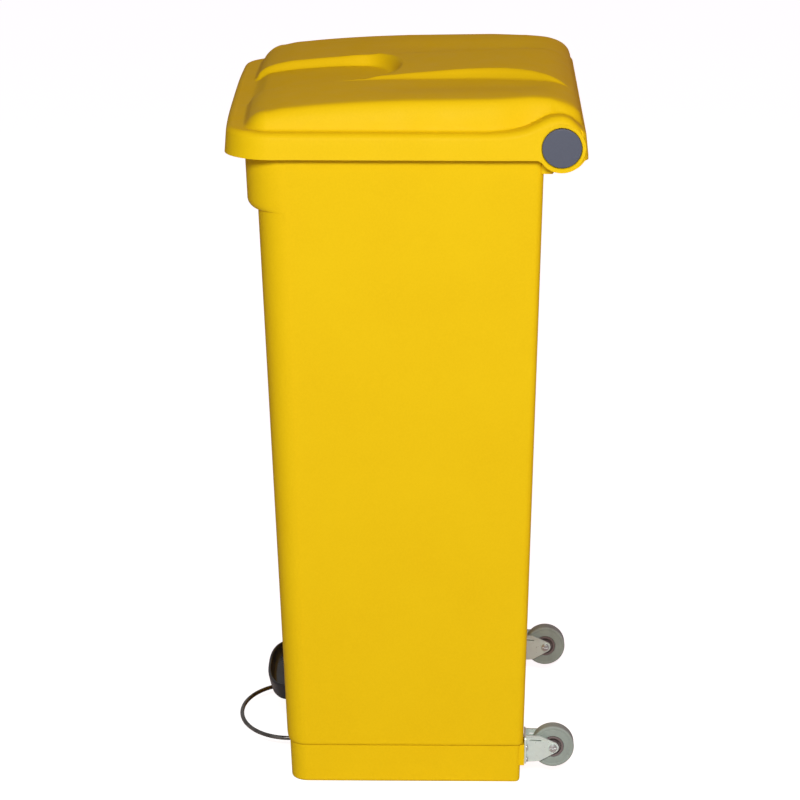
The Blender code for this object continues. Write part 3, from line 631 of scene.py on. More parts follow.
def build_plinth(look):
    """The plinth, with a rounded lower edge, a block behind each castor and the lugs that carry the pedal's
    axle.
    """
    low_edge, collar = 0.0040, TUB_WALL + 0.0003
    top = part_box("base_plinth")[1].z
    step_z = PLINTH_TOP - 0.0003
    rings = [tub_ring(low_edge * (1 - cos), PLINTH_INSET + low_edge * (1 - sin)) for sin, cos in quarter(6)]
    rings += [tub_ring(step_z, PLINTH_INSET), tub_ring(step_z, collar), tub_ring(top, collar)]
    plinth = loft("plinth_visual", rings)
    wall = 0.0035
    lower = [tub_ring(z, PLINTH_INSET + wall) for z in (0.005, step_z - 0.004)]
    hollow = loft("hollow", lower + [tub_ring(z, collar + wall) for z in (step_z, top + 0.01)])
    cut(hollow, niche("hollow_niche", wall))
    cut(plinth, hollow, niche("plinth_niche", 0.0), niche("collar_gap", collar, step_z))
    additions = []
    for side, word in SIDES:
        lug = [(PIVOT.y - 0.016, 0.004), (PIVOT.y + 0.016, 0.004)]
        lug += arc((PIVOT.y, PIVOT.z), 0.010, 0, 180, 16)
        additions.append(extruded("lug", lug, "X", side * 0.020, side * 0.026))
        plate_low, plate_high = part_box(f"castor_bracket_{word}")
        left, right, low = plate_low.x - 0.001, plate_high.x + 0.001, plate_low.z - 0.001
        block = rectangle(left, right, low, step_z)
        additions.append(extruded("block", block, "Y", 0.126, plate_low.y - 0.0003))
    join(plinth, *additions)
    holes = [rod(0.0043, -0.03, 0.03, PIVOT_AXIS, "X", 32)]
    holes += [lever_slot("plinth_slot", 0.0115, 0.086), channel("plinth_channel", 0.0, 0.030)]
    hoop_low, hoop_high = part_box("stabiliser_hoop")
    wire = (hoop_high.z - hoop_low.z) / 2
    for side, _ in SIDES:
        place = (side * (hoop_high.x - wire), 0, hoop_low.z + wire)
        holes.append(rod(wire + 0.0004, -0.16, -0.115, place, "Y", 32))
        for x, z in castor_screw_places(side):
            holes.append(rod(SCREW_HOLE, 0.130, 0.15, (x, 0, z), "Y", 20))
    cut(plinth, *holes)
    round_edges(plinth, 0.0010, 2)
    dress(plinth, look["body"], "bin_body", "base_plinth")


# ---- lid

# Height of the crown above its foot, by distance in from the foot, at the front, the side and the rear
CROWN_FRONT = [(0.0, 0.0), (0.0055, 0.013), (0.0165, 0.023), (0.0335, 0.029), (0.045, 0.0315), (0.052, 0.032)]
CROWN_SIDE = [(0.0, 0.0), (0.0020, 0.0100), (0.0060, 0.0215), (0.0112, 0.0290), (0.0150, 0.0311)]
CROWN_SIDE += [(0.022, 0.032)]
CROWN_REAR = [(0.0, 0.0), (0.0022, 0.0115), (0.0066, 0.0185), (0.0115, 0.0225), (0.0215, 0.0270)]
CROWN_REAR += [(0.034, 0.0300), (0.055, 0.032)]
# How steeply the crown's surface goes on down past its foot
FOOT_SLOPE = 2.6
# How far in from the lid's outline the crown's foot is
FOOT_FRONT = 0.0220
FOOT_SIDE = 0.0142
FOOT_REAR = 0.0030
# How much further in it is on the side by the hinge, and where that starts and ends
FOOT_BY_HINGE = 0.011
HINGE_FOOT_START = 0.095
HINGE_FOOT_END = 0.150
REAR_CROWN_RADIUS = 0.040
# How far the crown's foot is above the ledge
CROWN_LIFT = 0.0009
# The fillet between crown and ledge, and how far the side ledge falls outwards, over what width
LEDGE_FILLET = 0.0060
LEDGE_FALL = 0.0016
LEDGE_WIDTH = 0.016
# How far the crown's top falls away towards the front, by y
CROWN_FALL = [(-0.175, 0.0074), (-0.134, 0.0066), (-0.108, 0.0046), (-0.075, 0.0025), (-0.041, 0.0010)]
CROWN_FALL += [(0.0, 0.0)]
# How far the ledge climbs over the hinge, by y
HINGE_RISE = [(0.092, 0.0), (0.110, 0.0010), (0.124, 0.0028), (0.1355, 0.0056), (0.146, 0.0102)]
HINGE_RISE += [(0.1555, 0.0150), (0.1646, 0.0180), (0.1735, 0.0190), (0.1827, 0.0168), (0.1918, 0.0100)]
HINGE_RISE += [(0.1985, 0.0032), (0.2025, 0.0)]
HIGHEST_RISE = 0.0190
# Where across the lid that climb starts, over what width it grows, and what it adds to the rounded edge
CLIMB_START = 0.200
CLIMB_WIDTH = 0.02
CLIMB_EDGE = 0.0030
# The finger recess's floor, by y
RECESS_FLOOR = [(-0.190, 0.7868), (-0.182, 0.7872), (-0.165, 0.7965), (-0.121, 0.8028), (-0.073, 0.8058)]
RECESS_FLOOR += [(-0.02, 0.8065)]
# Its half width, where its straight part ends, how long its round end is, and its wall's place and width
RECESS_HALF = 0.080
RECESS_END = -0.053
RECESS_END_LENGTH = 0.045
RECESS_WALL_START = 0.0032
RECESS_WALL_WIDTH = 0.0120
# The raised middle of the rear half: its height, and its half width at its foot and at its top, by y
HUMP_HEIGHT = [(-0.082, 0.0), (-0.070, 0.0006), (-0.050, 0.0022), (-0.015, 0.0042), (0.025, 0.0070)]
HUMP_HEIGHT += [(0.076, 0.0096), (0.110, 0.0101), (0.135, 0.0092), (0.155, 0.0068), (0.173, 0.0034)]
HUMP_HEIGHT += [(0.188, 0.0)]
HUMP_FOOT = [(-0.095, 0.0890), (-0.05, 0.0860), (0.0, 0.0815), (0.05, 0.080), (0.081, 0.082), (0.128, 0.091)]
HUMP_FOOT += [(0.180, 0.108)]
HUMP_TOP = [(-0.095, 0.0850), (-0.05, 0.0790), (0.0, 0.0690), (0.04, 0.0635), (0.08, 0.0612), (0.11, 0.0625)]
HUMP_TOP += [(0.145, 0.0760), (0.182, 0.1040)]
# The rise from its foot to its top, as shares of both
HUMP_FLANK = [(0.0, 0.0), (0.2, 0.08), (0.5, 0.42), (0.8, 0.87), (0.92, 0.985), (1.0, 1.0)]
# How far the rear half of the crown is hollowed, and between which limits: to the side, in front and behind
DISH_DEPTH = 0.0030
DISH_SIDE, DISH_FRONT, DISH_REAR = 0.190, -0.08, 0.185
# How far the lid's sides lean in for every metre of height
SIDE_LEAN = 0.098
# What the flare of the skirt adds at the sides and rear, and least and most in front
SIDE_FLARE = 0.0025
REAR_FLARE = 0.0024
FRONT_FLARE = (0.0002, 0.0027)


def crown_share(distance, profile, foot):
    """The share of its height that the crown has, by how far in from the outline. Below 0 outside it."""
    along = distance - foot
    return np.where(along > 0, through(profile, along) / CROWN_RISE, along * FOOT_SLOPE / CROWN_RISE)


def corner_share(side, end, radius, profile, foot, side_foot):
    """The crown's share in a corner that is round in plan, by how far in from the side and the end."""
    out_x, out_y = np.maximum(radius - side, 1e-9), np.maximum(radius - end, 1e-9)
    turn = ease(np.arctan2(out_y, out_x) / (math.pi / 2))
    own_foot = side_foot + (foot - side_foot) * turn
    inward = (radius - np.hypot(out_x, out_y) - own_foot) / (radius - own_foot)
    at_side = crown_share(side_foot + inward * (radius - side_foot), CROWN_SIDE, side_foot)
    at_end = crown_share(foot + inward * (radius - foot), profile, foot)
    full_side = crown_share(np.full_like(side, radius), CROWN_SIDE, side_foot)
    full_end = crown_share(np.full_like(side, radius), profile, foot)
    share = at_side * full_end * (1 - turn) + at_end * full_side * turn
    return np.where(inward > 0, share, np.minimum(at_side, at_end))


def lid_height(x, y):
    """Height of the lid's upper surface before its outer edge is rounded."""
    across = np.abs(x)
    to_side, to_front, to_rear = LID_HALF - across, y - LID_FRONT, LID_REAR - y
    by_hinge = ease((y - HINGE_FOOT_START) / (HINGE_FOOT_END - HINGE_FOOT_START))
    side_foot = FOOT_SIDE + FOOT_BY_HINGE * by_hinge
    side = crown_share(to_side, CROWN_SIDE, side_foot)
    front = crown_share(to_front, CROWN_FRONT, FOOT_FRONT)
    rear = crown_share(to_rear, CROWN_REAR, FOOT_REAR)
    lowest = np.minimum(np.minimum(side, front), rear)
    share = np.where(lowest < 0, lowest, side * front * rear)
    bent = corner_share(to_side, to_front, FRONT_RADIUS, CROWN_FRONT, FOOT_FRONT, side_foot)
    share = np.where((to_side < FRONT_RADIUS) & (to_front < FRONT_RADIUS), bent, share)
    bent = corner_share(to_side, to_rear, REAR_CROWN_RADIUS, CROWN_REAR, FOOT_REAR, side_foot)
    share = np.where((to_side < REAR_CROWN_RADIUS) & (to_rear < REAR_CROWN_RADIUS), bent, share)

    top = CROWN_SLOPE * y - through(CROWN_FALL, y)
    crown = SHOULDER + CROWN_LIFT + CROWN_RISE * share + top * np.clip(share, 0, 1)
    dish = ease((DISH_SIDE - across) / 0.070) * ease((y - DISH_FRONT) / 0.12) * ease((DISH_REAR - y) / 0.05)
    crown = crown - DISH_DEPTH * dish
    hump_foot = through(HUMP_FOOT, y)
    flank = through(HUMP_FLANK, (hump_foot - across) / (hump_foot - through(HUMP_TOP, y)))
    crown = crown + through(HUMP_HEIGHT, y) * flank

    ledge = SHOULDER - LEDGE_FALL * ease((across - LID_HALF + LEDGE_WIDTH) / LEDGE_WIDTH)
    ledge = ledge + through(HINGE_RISE, y) * ease((across - CLIMB_START) / CLIMB_WIDTH)
    height = smooth_max(crown, ledge, LEDGE_FILLET)

    past = np.maximum(y - RECESS_END, 0.0)
    aside = np.maximum(across, 1e-4)
    stretch = np.hypot(aside / RECESS_HALF, past / RECESS_END_LENGTH)
    steep = np.hypot(aside / RECESS_HALF**2, past / RECESS_END_LENGTH**2)
    outside = stretch * (stretch - 1) / steep
    inside = ease((RECESS_WALL_START - outside) / RECESS_WALL_WIDTH)
    return height + (through(RECESS_FLOOR, y) - height) * inside


def graded(start, end, step_at):
    """Numbers from start to end whose spacing follows step_at."""
    places = [start]
    while places[-1] < end:
        places.append(places[-1] + step_at(places[-1]))
    places = np.array(places)
    return start + (places - start) * (end - start) / (places[-1] - start)


def edge_places():
    """Distances in from the lid's edge that round it evenly."""
    return [EDGE_RADIUS * (1 - math.cos(math.radians(angle))) for angle in range(0, 90, 10)]


def lid_lines():
    """Grid lines across and along the lid, close together where its surface turns quickly."""

    def step_x(x):
        if x < 0.058:
            return 0.0045
        if x < 0.112:
            return 0.0011 if 0.061 < x < 0.085 else 0.0020
        if x < 0.200:
            return 0.0055
        return 0.0014 if x < 0.228 else 0.0010

    def step_y(y):
        if y < -0.160:
            return 0.0012
        if y < -0.060:
            return 0.0040
        if y < 0.004:
            return 0.0014
        return 0.0040 if y < 0.160 else 0.0013

    edge = EDGE_RADIUS
    half = list(graded(0.0, LID_HALF - edge, step_x))
    half += [LID_HALF - d for d in reversed(edge_places())]
    xs = [-x for x in reversed(half[1:])] + half
    ys = [LID_FRONT + d for d in edge_places()]
    ys += list(graded(LID_FRONT + edge, LID_REAR - edge, step_y))
    ys += [LID_REAR - d for d in reversed(edge_places())]
    return np.array(xs), np.array(ys)


def shrink(value, start, end, inset):
    """Squeezes what lies past start so that end moves in by inset."""
    past = np.maximum(value - start, 0.0)
    return np.minimum(value, start) + past * (end - inset - start) / (end - start)


def lid_plan(inset):
    """The grid's points in plan, moved in by inset, which way is out at each, and how far in it is."""
    xs, ys = lid_lines()
    grid_x, grid_y = np.meshgrid(xs, ys, indexing="ij")
    sign = np.where(grid_x < 0, -1.0, 1.0)
    across = np.abs(grid_x)
    out = np.zeros((*grid_x.shape, 2))
    flat_x = shrink(across, LID_HALF - FRONT_RADIUS, LID_HALF, inset)
    flat_y = -shrink(-grid_y, -LID_FRONT - FRONT_RADIUS, -LID_FRONT, inset)
    flat_y = shrink(flat_y, LID_REAR - REAR_RADIUS, LID_REAR, inset)
    x, y = flat_x.copy(), flat_y.copy()
    to_side = LID_HALF - inset - flat_x
    to_end = np.minimum(flat_y - LID_FRONT, LID_REAR - flat_y) - inset
    depth = np.minimum(to_side, to_end)
    out[..., 0] = np.where(to_side <= to_end, 1.0, 0.0)
    out[..., 1] = np.where(to_side <= to_end, 0.0, np.sign(grid_y))
    for end, radius in ((-1, FRONT_RADIUS), (1, REAR_RADIUS)):
        corner_x = LID_HALF - radius
        corner_y = LID_FRONT + radius if end < 0 else LID_REAR - radius
        p = (across - corner_x) / radius
        q = end * (grid_y - corner_y) / radius
        zone = (p >= 0) & (q >= 0)
        most = np.maximum(np.maximum(p, q), 1e-9)
        turn = np.where(p >= q, q / most, 2 - p / most) * math.pi / 4
        reach = (radius - inset) * most
        x = np.where(zone, corner_x + reach * np.cos(turn), x)
        y = np.where(zone, corner_y + end * reach * np.sin(turn), y)
        depth = np.where(zone, (radius - inset) - reach, depth)
        out[..., 0] = np.where(zone, np.cos(turn), out[..., 0])
        out[..., 1] = np.where(zone, end * np.sin(turn), out[..., 1])
    out[..., 0] *= sign
    return x * sign, y, out, depth


def lid_surface(inset):
    """The grid's points on the outer surface or, in by inset, the inner one, and which way is out at each."""
    x, y, out, depth = lid_plan(inset)
    z = lid_height(x, y)
    if inset:
        gap = 0.0008
        slope_x = (lid_height(x + gap, y) - lid_height(x - gap, y)) / (2 * gap)
        slope_y = (lid_height(x, y + gap) - lid_height(x, y - gap)) / (2 * gap)
        z = z - inset * np.sqrt(1 + np.minimum(slope_x**2 + slope_y**2, 5.0))
    else:
        edge = EDGE_RADIUS * (1 - 0.6 * ease((y - 0.183) / 0.012) * (np.abs(out[..., 1]) > 0.7))
        edge = edge + CLIMB_EDGE * through(HINGE_RISE, y) / HIGHEST_RISE * (np.abs(out[..., 0]) > 0.7)
        into = np.clip(1 - depth / edge, 0.0, 1.0)
        z = z - edge * (1 - np.sqrt(1 - into**2))
    lean = -SIDE_LEAN * through(HINGE_RISE, y) * (1 - ease(depth / 0.014))
    x = x + np.sign(x) * lean
    bow = FRONT_BOW * np.abs(x / LID_HALF) ** 3 * (1 - ease((y - LID_FRONT) / 0.12))
    return np.stack([x, y + bow, z], -1), out


def rim_order(count_x, count_y):
    """Grid places round the outside, once round."""
    order = [(i, 0) for i in range(count_x)]
    order += [(count_x - 1, j) for j in range(1, count_y)]
    order += [(i, count_y - 1) for i in range(count_x - 2, -1, -1)]
    order += [(0, j) for j in range(count_y - 2, 0, -1)]
    return order


def skirt_bottom(point):
    """Height of the skirt's lower edge: straight, but round the hinge's boss."""
    reach = BOSS_RADIUS**2 - (point[1] - HINGE.y) ** 2
    on_side = abs(point[0]) > LID_HALF - 0.015
    return min(SKIRT_BOTTOM, HINGE.z - math.sqrt(reach)) if reach > 0 and on_side else SKIRT_BOTTOM


def skirt_rings(points, out, order, inset):
    """Rings down the skirt from the edge of the upper surface. The skirt flares out as it goes down."""
    rows = 10
    rings = [[] for _ in range(rows + 1)]
    straight = SHOULDER - EDGE_RADIUS
    for i, j in order:
        top, way = points[i, j], out[i, j]
        low = skirt_bottom(top)
        in_front = FRONT_FLARE[0] + FRONT_FLARE[1] * abs(top[0] / LID_HALF) ** 3
        flare = (SIDE_FLARE, in_front if way[1] < 0 else REAR_FLARE)
        start = (straight - top[2]) / (straight - SKIRT_BOTTOM)
        for row in range(1, rows + 1):
            z = top[2] + (low - top[2]) * row / rows
            share = min((straight - z) / (straight - SKIRT_BOTTOM), 1.0)
            share -= start if inset else min(start, 0.0)
            share = max(share, 0.0) if start >= 0 else share
            x, y = top[0] + way[0] * flare[0] * share, top[1] + way[1] * flare[1] * min(share, 1.0)
            rings[row].append((x, y, z))
    return rings[1:]


def join_loops(bm, upper, lower, way):
    """Faces down from one loop to the next, that look out for way 1 and in for way -1."""
    for k in range(len(upper)):
        m = (k + 1) % len(upper)
        bm.faces.new((upper[k], lower[k], lower[m], upper[m])[::way])


def build_lid_shell():
    """The lid's skin: upper surface, skirt, lip and inner surface, as one closed mesh."""
    skins = [(*lid_surface(inset), inset) for inset in (0.0, LID_WALL)]
    order = rim_order(*skins[0][0].shape[:2])
    bm = bmesh.new()
    grids = [[[bm.verts.new(point) for point in line] for line in points] for points, _, _ in skins]
    for grid, way in zip(grids, (1, -1)):
        for line, following in zip(grid, grid[1:]):
            for j in range(len(line) - 1):
                bm.faces.new((line[j], following[j], following[j + 1], line[j + 1])[::way])
    walls = []
    for grid, (points, out, inset) in zip(grids, skins):
        loops = [[grid[i][j] for i, j in order]]
        loops += [[bm.verts.new(point) for point in ring] for ring in skirt_rings(points, out, order, inset)]
        walls.append(loops)
    for loops, way in zip(walls, (1, -1)):
        for upper, lower in zip(loops, loops[1:]):
            join_loops(bm, upper, lower, way)
    join_loops(bm, walls[0][-1], walls[1][-1], 1)
    return from_bmesh("lid_visual", bm)


def crank_lug(name):
    """The slotted lug under the lid that the push rod lifts."""
    pin = middle("rod_clip_upper")
    outline = [(HINGE.y + 0.014, 0.8100), (HINGE.y + 0.001, 0.8165)]
    outline += [(HINGE.y - 0.014, 0.8190), (HINGE.y - 0.021, HINGE.z + 0.008)]
    outline += arc((pin.y, pin.z), 0.008, 165, 310, 14)
    outline += [(HINGE.y + 0.004, HINGE.z - 0.009), (HINGE.y + 0.020, HINGE.z + 0.004)]
    return extruded(name, outline, "X", -0.003, 0.003)


def crank_slot(name):
    """A slot that points at the hinge axis."""
    pin = middle("rod_clip_upper")
    way = Vector((pin.y - HINGE.y, pin.z - HINGE.z)).normalized()
    along = math.degrees(math.atan2(way.y, way.x))
    radius = 0.0043
    outer, inner = (Vector((HINGE.y, HINGE.z)) + way * reach for reach in (0.0248, 0.0170))
    outline = arc(outer, radius, along - 90, along + 90, 12) + arc(inner, radius, along + 90, along + 270, 12)
    return extruded(name, outline, "X", -0.01, 0.01)


def build_lid(look):
    """The whole lid: its skin with the hinge's bosses and cups, and the lug for the push rod."""
    lid = build_lid_shell()
    bosses, cups = [], []
    face = LID_HIGH.x - 0.0003
    radius = CAP_RADIUS + 0.0006
    for side, _ in SIDES:
        boss = rod(BOSS_RADIUS - 0.0013, side * 0.2412, side * 0.26, HINGE_AXIS, "X", 96)
        for vertex in boss.data.vertices:
            lean = SIDE_LEAN * max(vertex.co.z - SKIRT_BOTTOM, 0.0)
            vertex.co.x = side * min(abs(vertex.co.x), LID_HALF + 0.0023 - lean)
        bosses.append(boss)
        cup = [(radius, face - CUP_DEPTH), (radius, face - 0.0022), (radius + 0.0003, face - 0.0013)]
        cup += [(radius + 0.0016, face + 0.0012), (radius + 0.0016, 0.26)]
        cups.append(solid_turned("cup", [(r, side * x) for r, x in cup], HINGE_AXIS, "X", 96))
        cups.append(rod(PIN_HOLE, side * 0.23, side * 0.25, HINGE_AXIS))
    join(lid, *bosses, crank_lug("crank"))
    cut(lid, crank_slot("slot"), *cups)
    dress(lid, look["lid"], "lid", "lid_shell", sharp=42)


def build_hinge_caps(look):
    """The round caps: slightly domed, with a rounded rim."""
    for side, word in SIDES:
        node = f"hinge_cap_{word}"
        low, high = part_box(node)
        inner, face = (low.x, high.x) if side > 0 else (high.x, low.x)
        rim = 0.0010
        profile = [(CAP_RADIUS - 0.0004, inner), (CAP_RADIUS, inner + side * 0.0004)]
        corner = (CAP_RADIUS - rim, face - side * (rim + 0.0004))
        profile += [(corner[0] + rim * cos, corner[1] + side * rim * sin) for sin, cos in quarter(6)]
        for share in (0.8, 0.6, 0.4, 0.2):
            profile.append((CAP_RADIUS * share, face - side * 0.0004 * share**2))
        cap = solid_turned(f"{node}_visual", profile, HINGE_AXIS, "X", 96)
        dress(cap, look["cap"], "lid", node)


# ---- pedal, rod and hoop


def pad_ring(inset, z, steps=64):
    """The pedal pad's outline: a flattened oval in front, square against the niche behind."""
    low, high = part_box("pedal_pad")
    shoulder, power = -0.139, 0.77
    depth, half, rear = shoulder - low.y, high.x, high.y
    corner = 0.006
    ring = []
    for side in (1, -1):
        centre = (side * (half - inset - corner), rear - inset * 0.5 - corner)
        first = 0 if side > 0 else 90
        ring += [(x, y, z) for x, y in arc(centre, corner, first, first + 90, 6)]
    for step in range(steps + 1):
        angle = math.radians(180 + 180 * step / steps)
        x = math.copysign(abs(math.cos(angle)) ** power, math.cos(angle))
        y = abs(math.sin(angle)) ** power
        ring.append(((half - inset) * x, shoulder - (depth - inset) * y, z))
    return ring


def build_pad(look):
    """The pad: a tray with a raised, rolled rim."""
    low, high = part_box("pedal_pad")
    bottom, top = low.z, high.z
    rim = 0.0026
    rings = [pad_ring(0.0090, bottom), pad_ring(0.0068, bottom + 0.0006), pad_ring(0.0052, bottom + 0.0022)]
    rings += [pad_ring(0.0030, bottom + 0.0090), pad_ring(0.0012, top - 0.0045)]
    rings += [pad_ring(0.0008 + rim * 0.6 * (1 - cos), top - rim * (1 - sin)) for sin, cos in quarter(6)]
    rings += [pad_ring(0.0032 + rim * 0.6 * sin, top - rim * (1 - cos)) for sin, cos in quarter(6)]
    rings += [pad_ring(0.0068, top - 0.0062), pad_ring(0.0088, top - 0.0088), pad_ring(0.0120, top - 0.0100)]
    pad = loft("pedal_pad_visual", rings)
    dress(pad, look["pad"], "pedal", "pedal_pad")


def build_lever(look):
    """The pressed lever with its cross tube and foot plate."""
    rear_pin = middle("rod_clip_lower")
    outline = [(-0.150, 0.0530), (-0.108, 0.0400), (-0.020, 0.0440)]
    outline += arc((PIVOT.y, PIVOT.z), 0.012, 250, 290, 8)
    outline += arc((rear_pin.y, rear_pin.z), 0.0068, -95, 85, 14)
    outline += arc((PIVOT.y, PIVOT.z), 0.012, 75, 105, 8)
    outline += [(-0.100, 0.0557), (-0.150, 0.0565)]
    lever = extruded("pedal_lever_visual", outline, "X", -0.003, 0.003)
    hub = rod(0.0105, -0.0185, 0.0185, PIVOT_AXIS, "X", 48)
    foot_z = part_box("pedal_pad")[0].z
    foot_outline = rounded(rectangle(-0.036, 0.036, -0.152, -0.124), 0.006)
    foot = extruded("foot", foot_outline, "Z", foot_z - 0.0043, foot_z - 0.0003)
    join(lever, hub, foot)
    slot = arc((rear_pin.y + 0.0008, rear_pin.z), 0.0035, -90, 90, 12)
    slot += arc((rear_pin.y - 0.0022, rear_pin.z), 0.0035, 90, 270, 12)
    cut(lever, extruded("slot", slot, "X", -0.01, 0.01), rod(0.0065, -0.03, 0.03, PIVOT_AXIS))
    round_edges(lever, 0.0004, 2)
    dress(lever, look["zinc"], "pedal", "pedal_lever")


def rounded_bend(corner, before, after, radius):
    """Points that round a square corner of a wire, from one leg's direction to the other's."""
    centre = Vector(corner) - before * radius + after * radius
    return [centre - after * radius * cos + before * radius * sin for sin, cos in quarter(10)]


def build_push_rod(look):
    """The bent rod from the lever to the crank."""
    low, high = middle("rod_clip_lower"), middle("rod_clip_upper")
    box_low, box_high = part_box("push_rod")
    radius = 0.003
    rod_x = box_low.x + radius
    up, right = Vector((0, high.y - low.y, high.z - low.z)).normalized(), Vector((1, 0, 0))
    points = [Vector((box_high.x, low.y, low.z))]
    points += rounded_bend((rod_x, low.y, low.z), -right, up, 0.005)
    points += rounded_bend((rod_x, high.y, high.z), up, right, 0.005)
    points.append(Vector((box_high.x, high.y, high.z)))
    dress(tube("push_rod_visual", points, radius), look["wire"], "push_rod", "push_rod")


def build_guides(look):
    """The two nylon guides that keep the rod straight."""
    low, high = middle("rod_clip_lower"), middle("rod_clip_upper")
    lean = (high.y - low.y) / (high.z - low.z)
    for word in ("lower", "upper"):
        box_low, box_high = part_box(f"rod_guide_{word}")
        z = (box_low.z + box_high.z) / 2
        rod_y = low.y + (z - low.z) * lean
        outline = rectangle(box_low.x, box_high.x, box_low.y, box_high.y)
        guide = extruded(f"rod_guide_{word}_visual", rounded(outline, 0.0022), "Z", box_low.z, box_high.z)
        cut(guide, rod(0.0037, z - 0.02, z + 0.02, (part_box("push_rod")[0].x + 0.003, rod_y, 0), "Z", 32))
        round_edges(guide, 0.0008, 2)
        dress(guide, look["nylon"], "bin_body", f"rod_guide_{word}")


def build_hoop(look):
    """The wire hoop: a half oval in front, tangent to two straight legs."""
    low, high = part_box("stabiliser_hoop")
    radius = (high.z - low.z) / 2
    half, front, end = high.x - radius, low.y + radius, high.y
    shoulder, z = -0.140, low.z + radius
    points = [Vector((-half, end, z))]
    for step in range(97):
        angle = math.radians(-90 + 180 * step / 96)
        points.append(Vector((half * math.sin(angle), shoulder - (shoulder - front) * math.cos(angle), z)))
    points.append(Vector((half, end, z)))
    hoop = tube("stabiliser_hoop_visual", points, radius)
    dress(hoop, look["wire"], "bin_body", "stabiliser_hoop")


# ---- castors


# A castor fork's sheet, and how far the inner faces of its legs are from its middle
FORK_SHEET = 0.002
FORK_INNER = 0.0105


def fork_outline():
    """One side of the fork: tall at the plate, narrowing to a round end at the axle."""
    low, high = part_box("castor_bracket_right")
    start = low.y + 0.001
    outline = [(start, low.z), (WHEEL.y - 0.016, low.z + 0.001)]
    outline += arc((WHEEL.y, WHEEL.z), 0.0068, -62, 72, 20)
    outline += [(WHEEL.y - 0.016, high.z - 0.0005), (start, high.z)]
    return outline


def build_bracket(look, side, word):
    """The pressed castor bracket: a plate and two legs with rolled top edges, each with a slit below it."""
    low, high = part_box(f"castor_bracket_{word}")
    x = side * WHEEL.x
    corners = rounded(rectangle(low.x, high.x, low.z, high.z), 0.0035)
    plate = extruded(f"castor_bracket_{word}_visual", corners, "Y", low.y, low.y + FORK_SHEET)
    additions = []
    for way in (-1, 1):
        near, far = x + way * FORK_INNER, x + way * (FORK_INNER + FORK_SHEET)
        additions.append(extruded("leg", fork_outline(), "X", near, far))
        lip = [(low.y + 0.001, high.z - 0.0016), (low.y + 0.001, high.z)]
        lip += [(WHEEL.y - 0.016, high.z - 0.0005), (WHEEL.y - 0.0065, high.z - 0.0046)]
        lip += [(WHEEL.y - 0.0072, high.z - 0.0060), (WHEEL.y - 0.0165, high.z - 0.0021)]
        additions.append(extruded("lip", lip, "X", near, far + way * 0.0016))
        washer = [(0.0056, far - way * 0.0005), (0.0053, far + way * 0.0004)]
        additions.append(solid_turned("boss", washer, WHEEL_AXIS, "X", 40))
    join(plate, *additions)
    holes = [rod(0.0033, x - 0.03, x + 0.03, WHEEL_AXIS, "X", 32)]
    for screw_x, z in castor_screw_places(side):
        holes.append(rod(SCREW_HOLE, 0.13, 0.16, (screw_x, 0, z), "Y", 24))
    slit = [(low.y + 0.006, high.z - 0.0066), (low.y + 0.020, high.z - 0.0071)]
    slit += [(low.y + 0.020, high.z - 0.0057), (low.y + 0.006, high.z - 0.0052)]
    holes.append(extruded("slit", slit, "X", x - 0.02, x + 0.02))
    cut(plate, *holes)
    round_edges(plate, 0.00045, 2)
    dress(plate, look["zinc"], "bin_body", f"castor_bracket_{word}")


def both_sides(right):
    """A whole outline from its half on the right, mirrored to the left."""
    return [(r, -s) for r, s in right] + right[::-1]


def build_wheel(look, side, word):
    """Tyre with rounded shoulders and a mould line, and a dished hub."""
    x = side * WHEEL.x
    body = f"wheel_{word}"
    tyre_size = size(f"tyre_{word}")
    radius, half = tyre_size.z / 2, tyre_size.x / 2
    hub_radius = size(f"wheel_hub_{word}").z / 2
    low, shoulder = hub_radius + 0.0003, 0.0020
    wall = radius - shoulder
    right = [(low, half - 0.0006), (low + 0.0006, half), (wall - 0.0030, half)]
    right += [(wall - 0.0022, half - 0.0005), (wall - 0.0014, half)]
    right += arc((wall, half - shoulder), shoulder, 90, 0, 9)
    right += [(radius, 0.0006), (radius - 0.0002, 0.0003)]
    tyre = turned(f"tyre_{word}_visual", both_sides(right), (x, WHEEL.y, WHEEL.z), "X", 96)
    dress(tyre, look["tyre"], body, f"tyre_{word}")

    hub_half = size(f"wheel_hub_{word}").x / 2
    dish, bore = 0.0062, 0.0048
    right = [(bore, hub_half - 0.0003), (bore + 0.0003, hub_half), (0.0060, hub_half)]
    right += [(0.0064, hub_half - 0.0005), (0.0070, hub_half - dish), (0.0095, hub_half - dish)]
    right += [(0.0099, hub_half - 0.0010), (0.0104, half), (hub_radius, half)]
    hub = turned(f"wheel_hub_{word}_visual", both_sides(right), (x, WHEEL.y, WHEEL.z), "X", 96)
    dress(hub, look["hub"], body, f"wheel_hub_{word}")


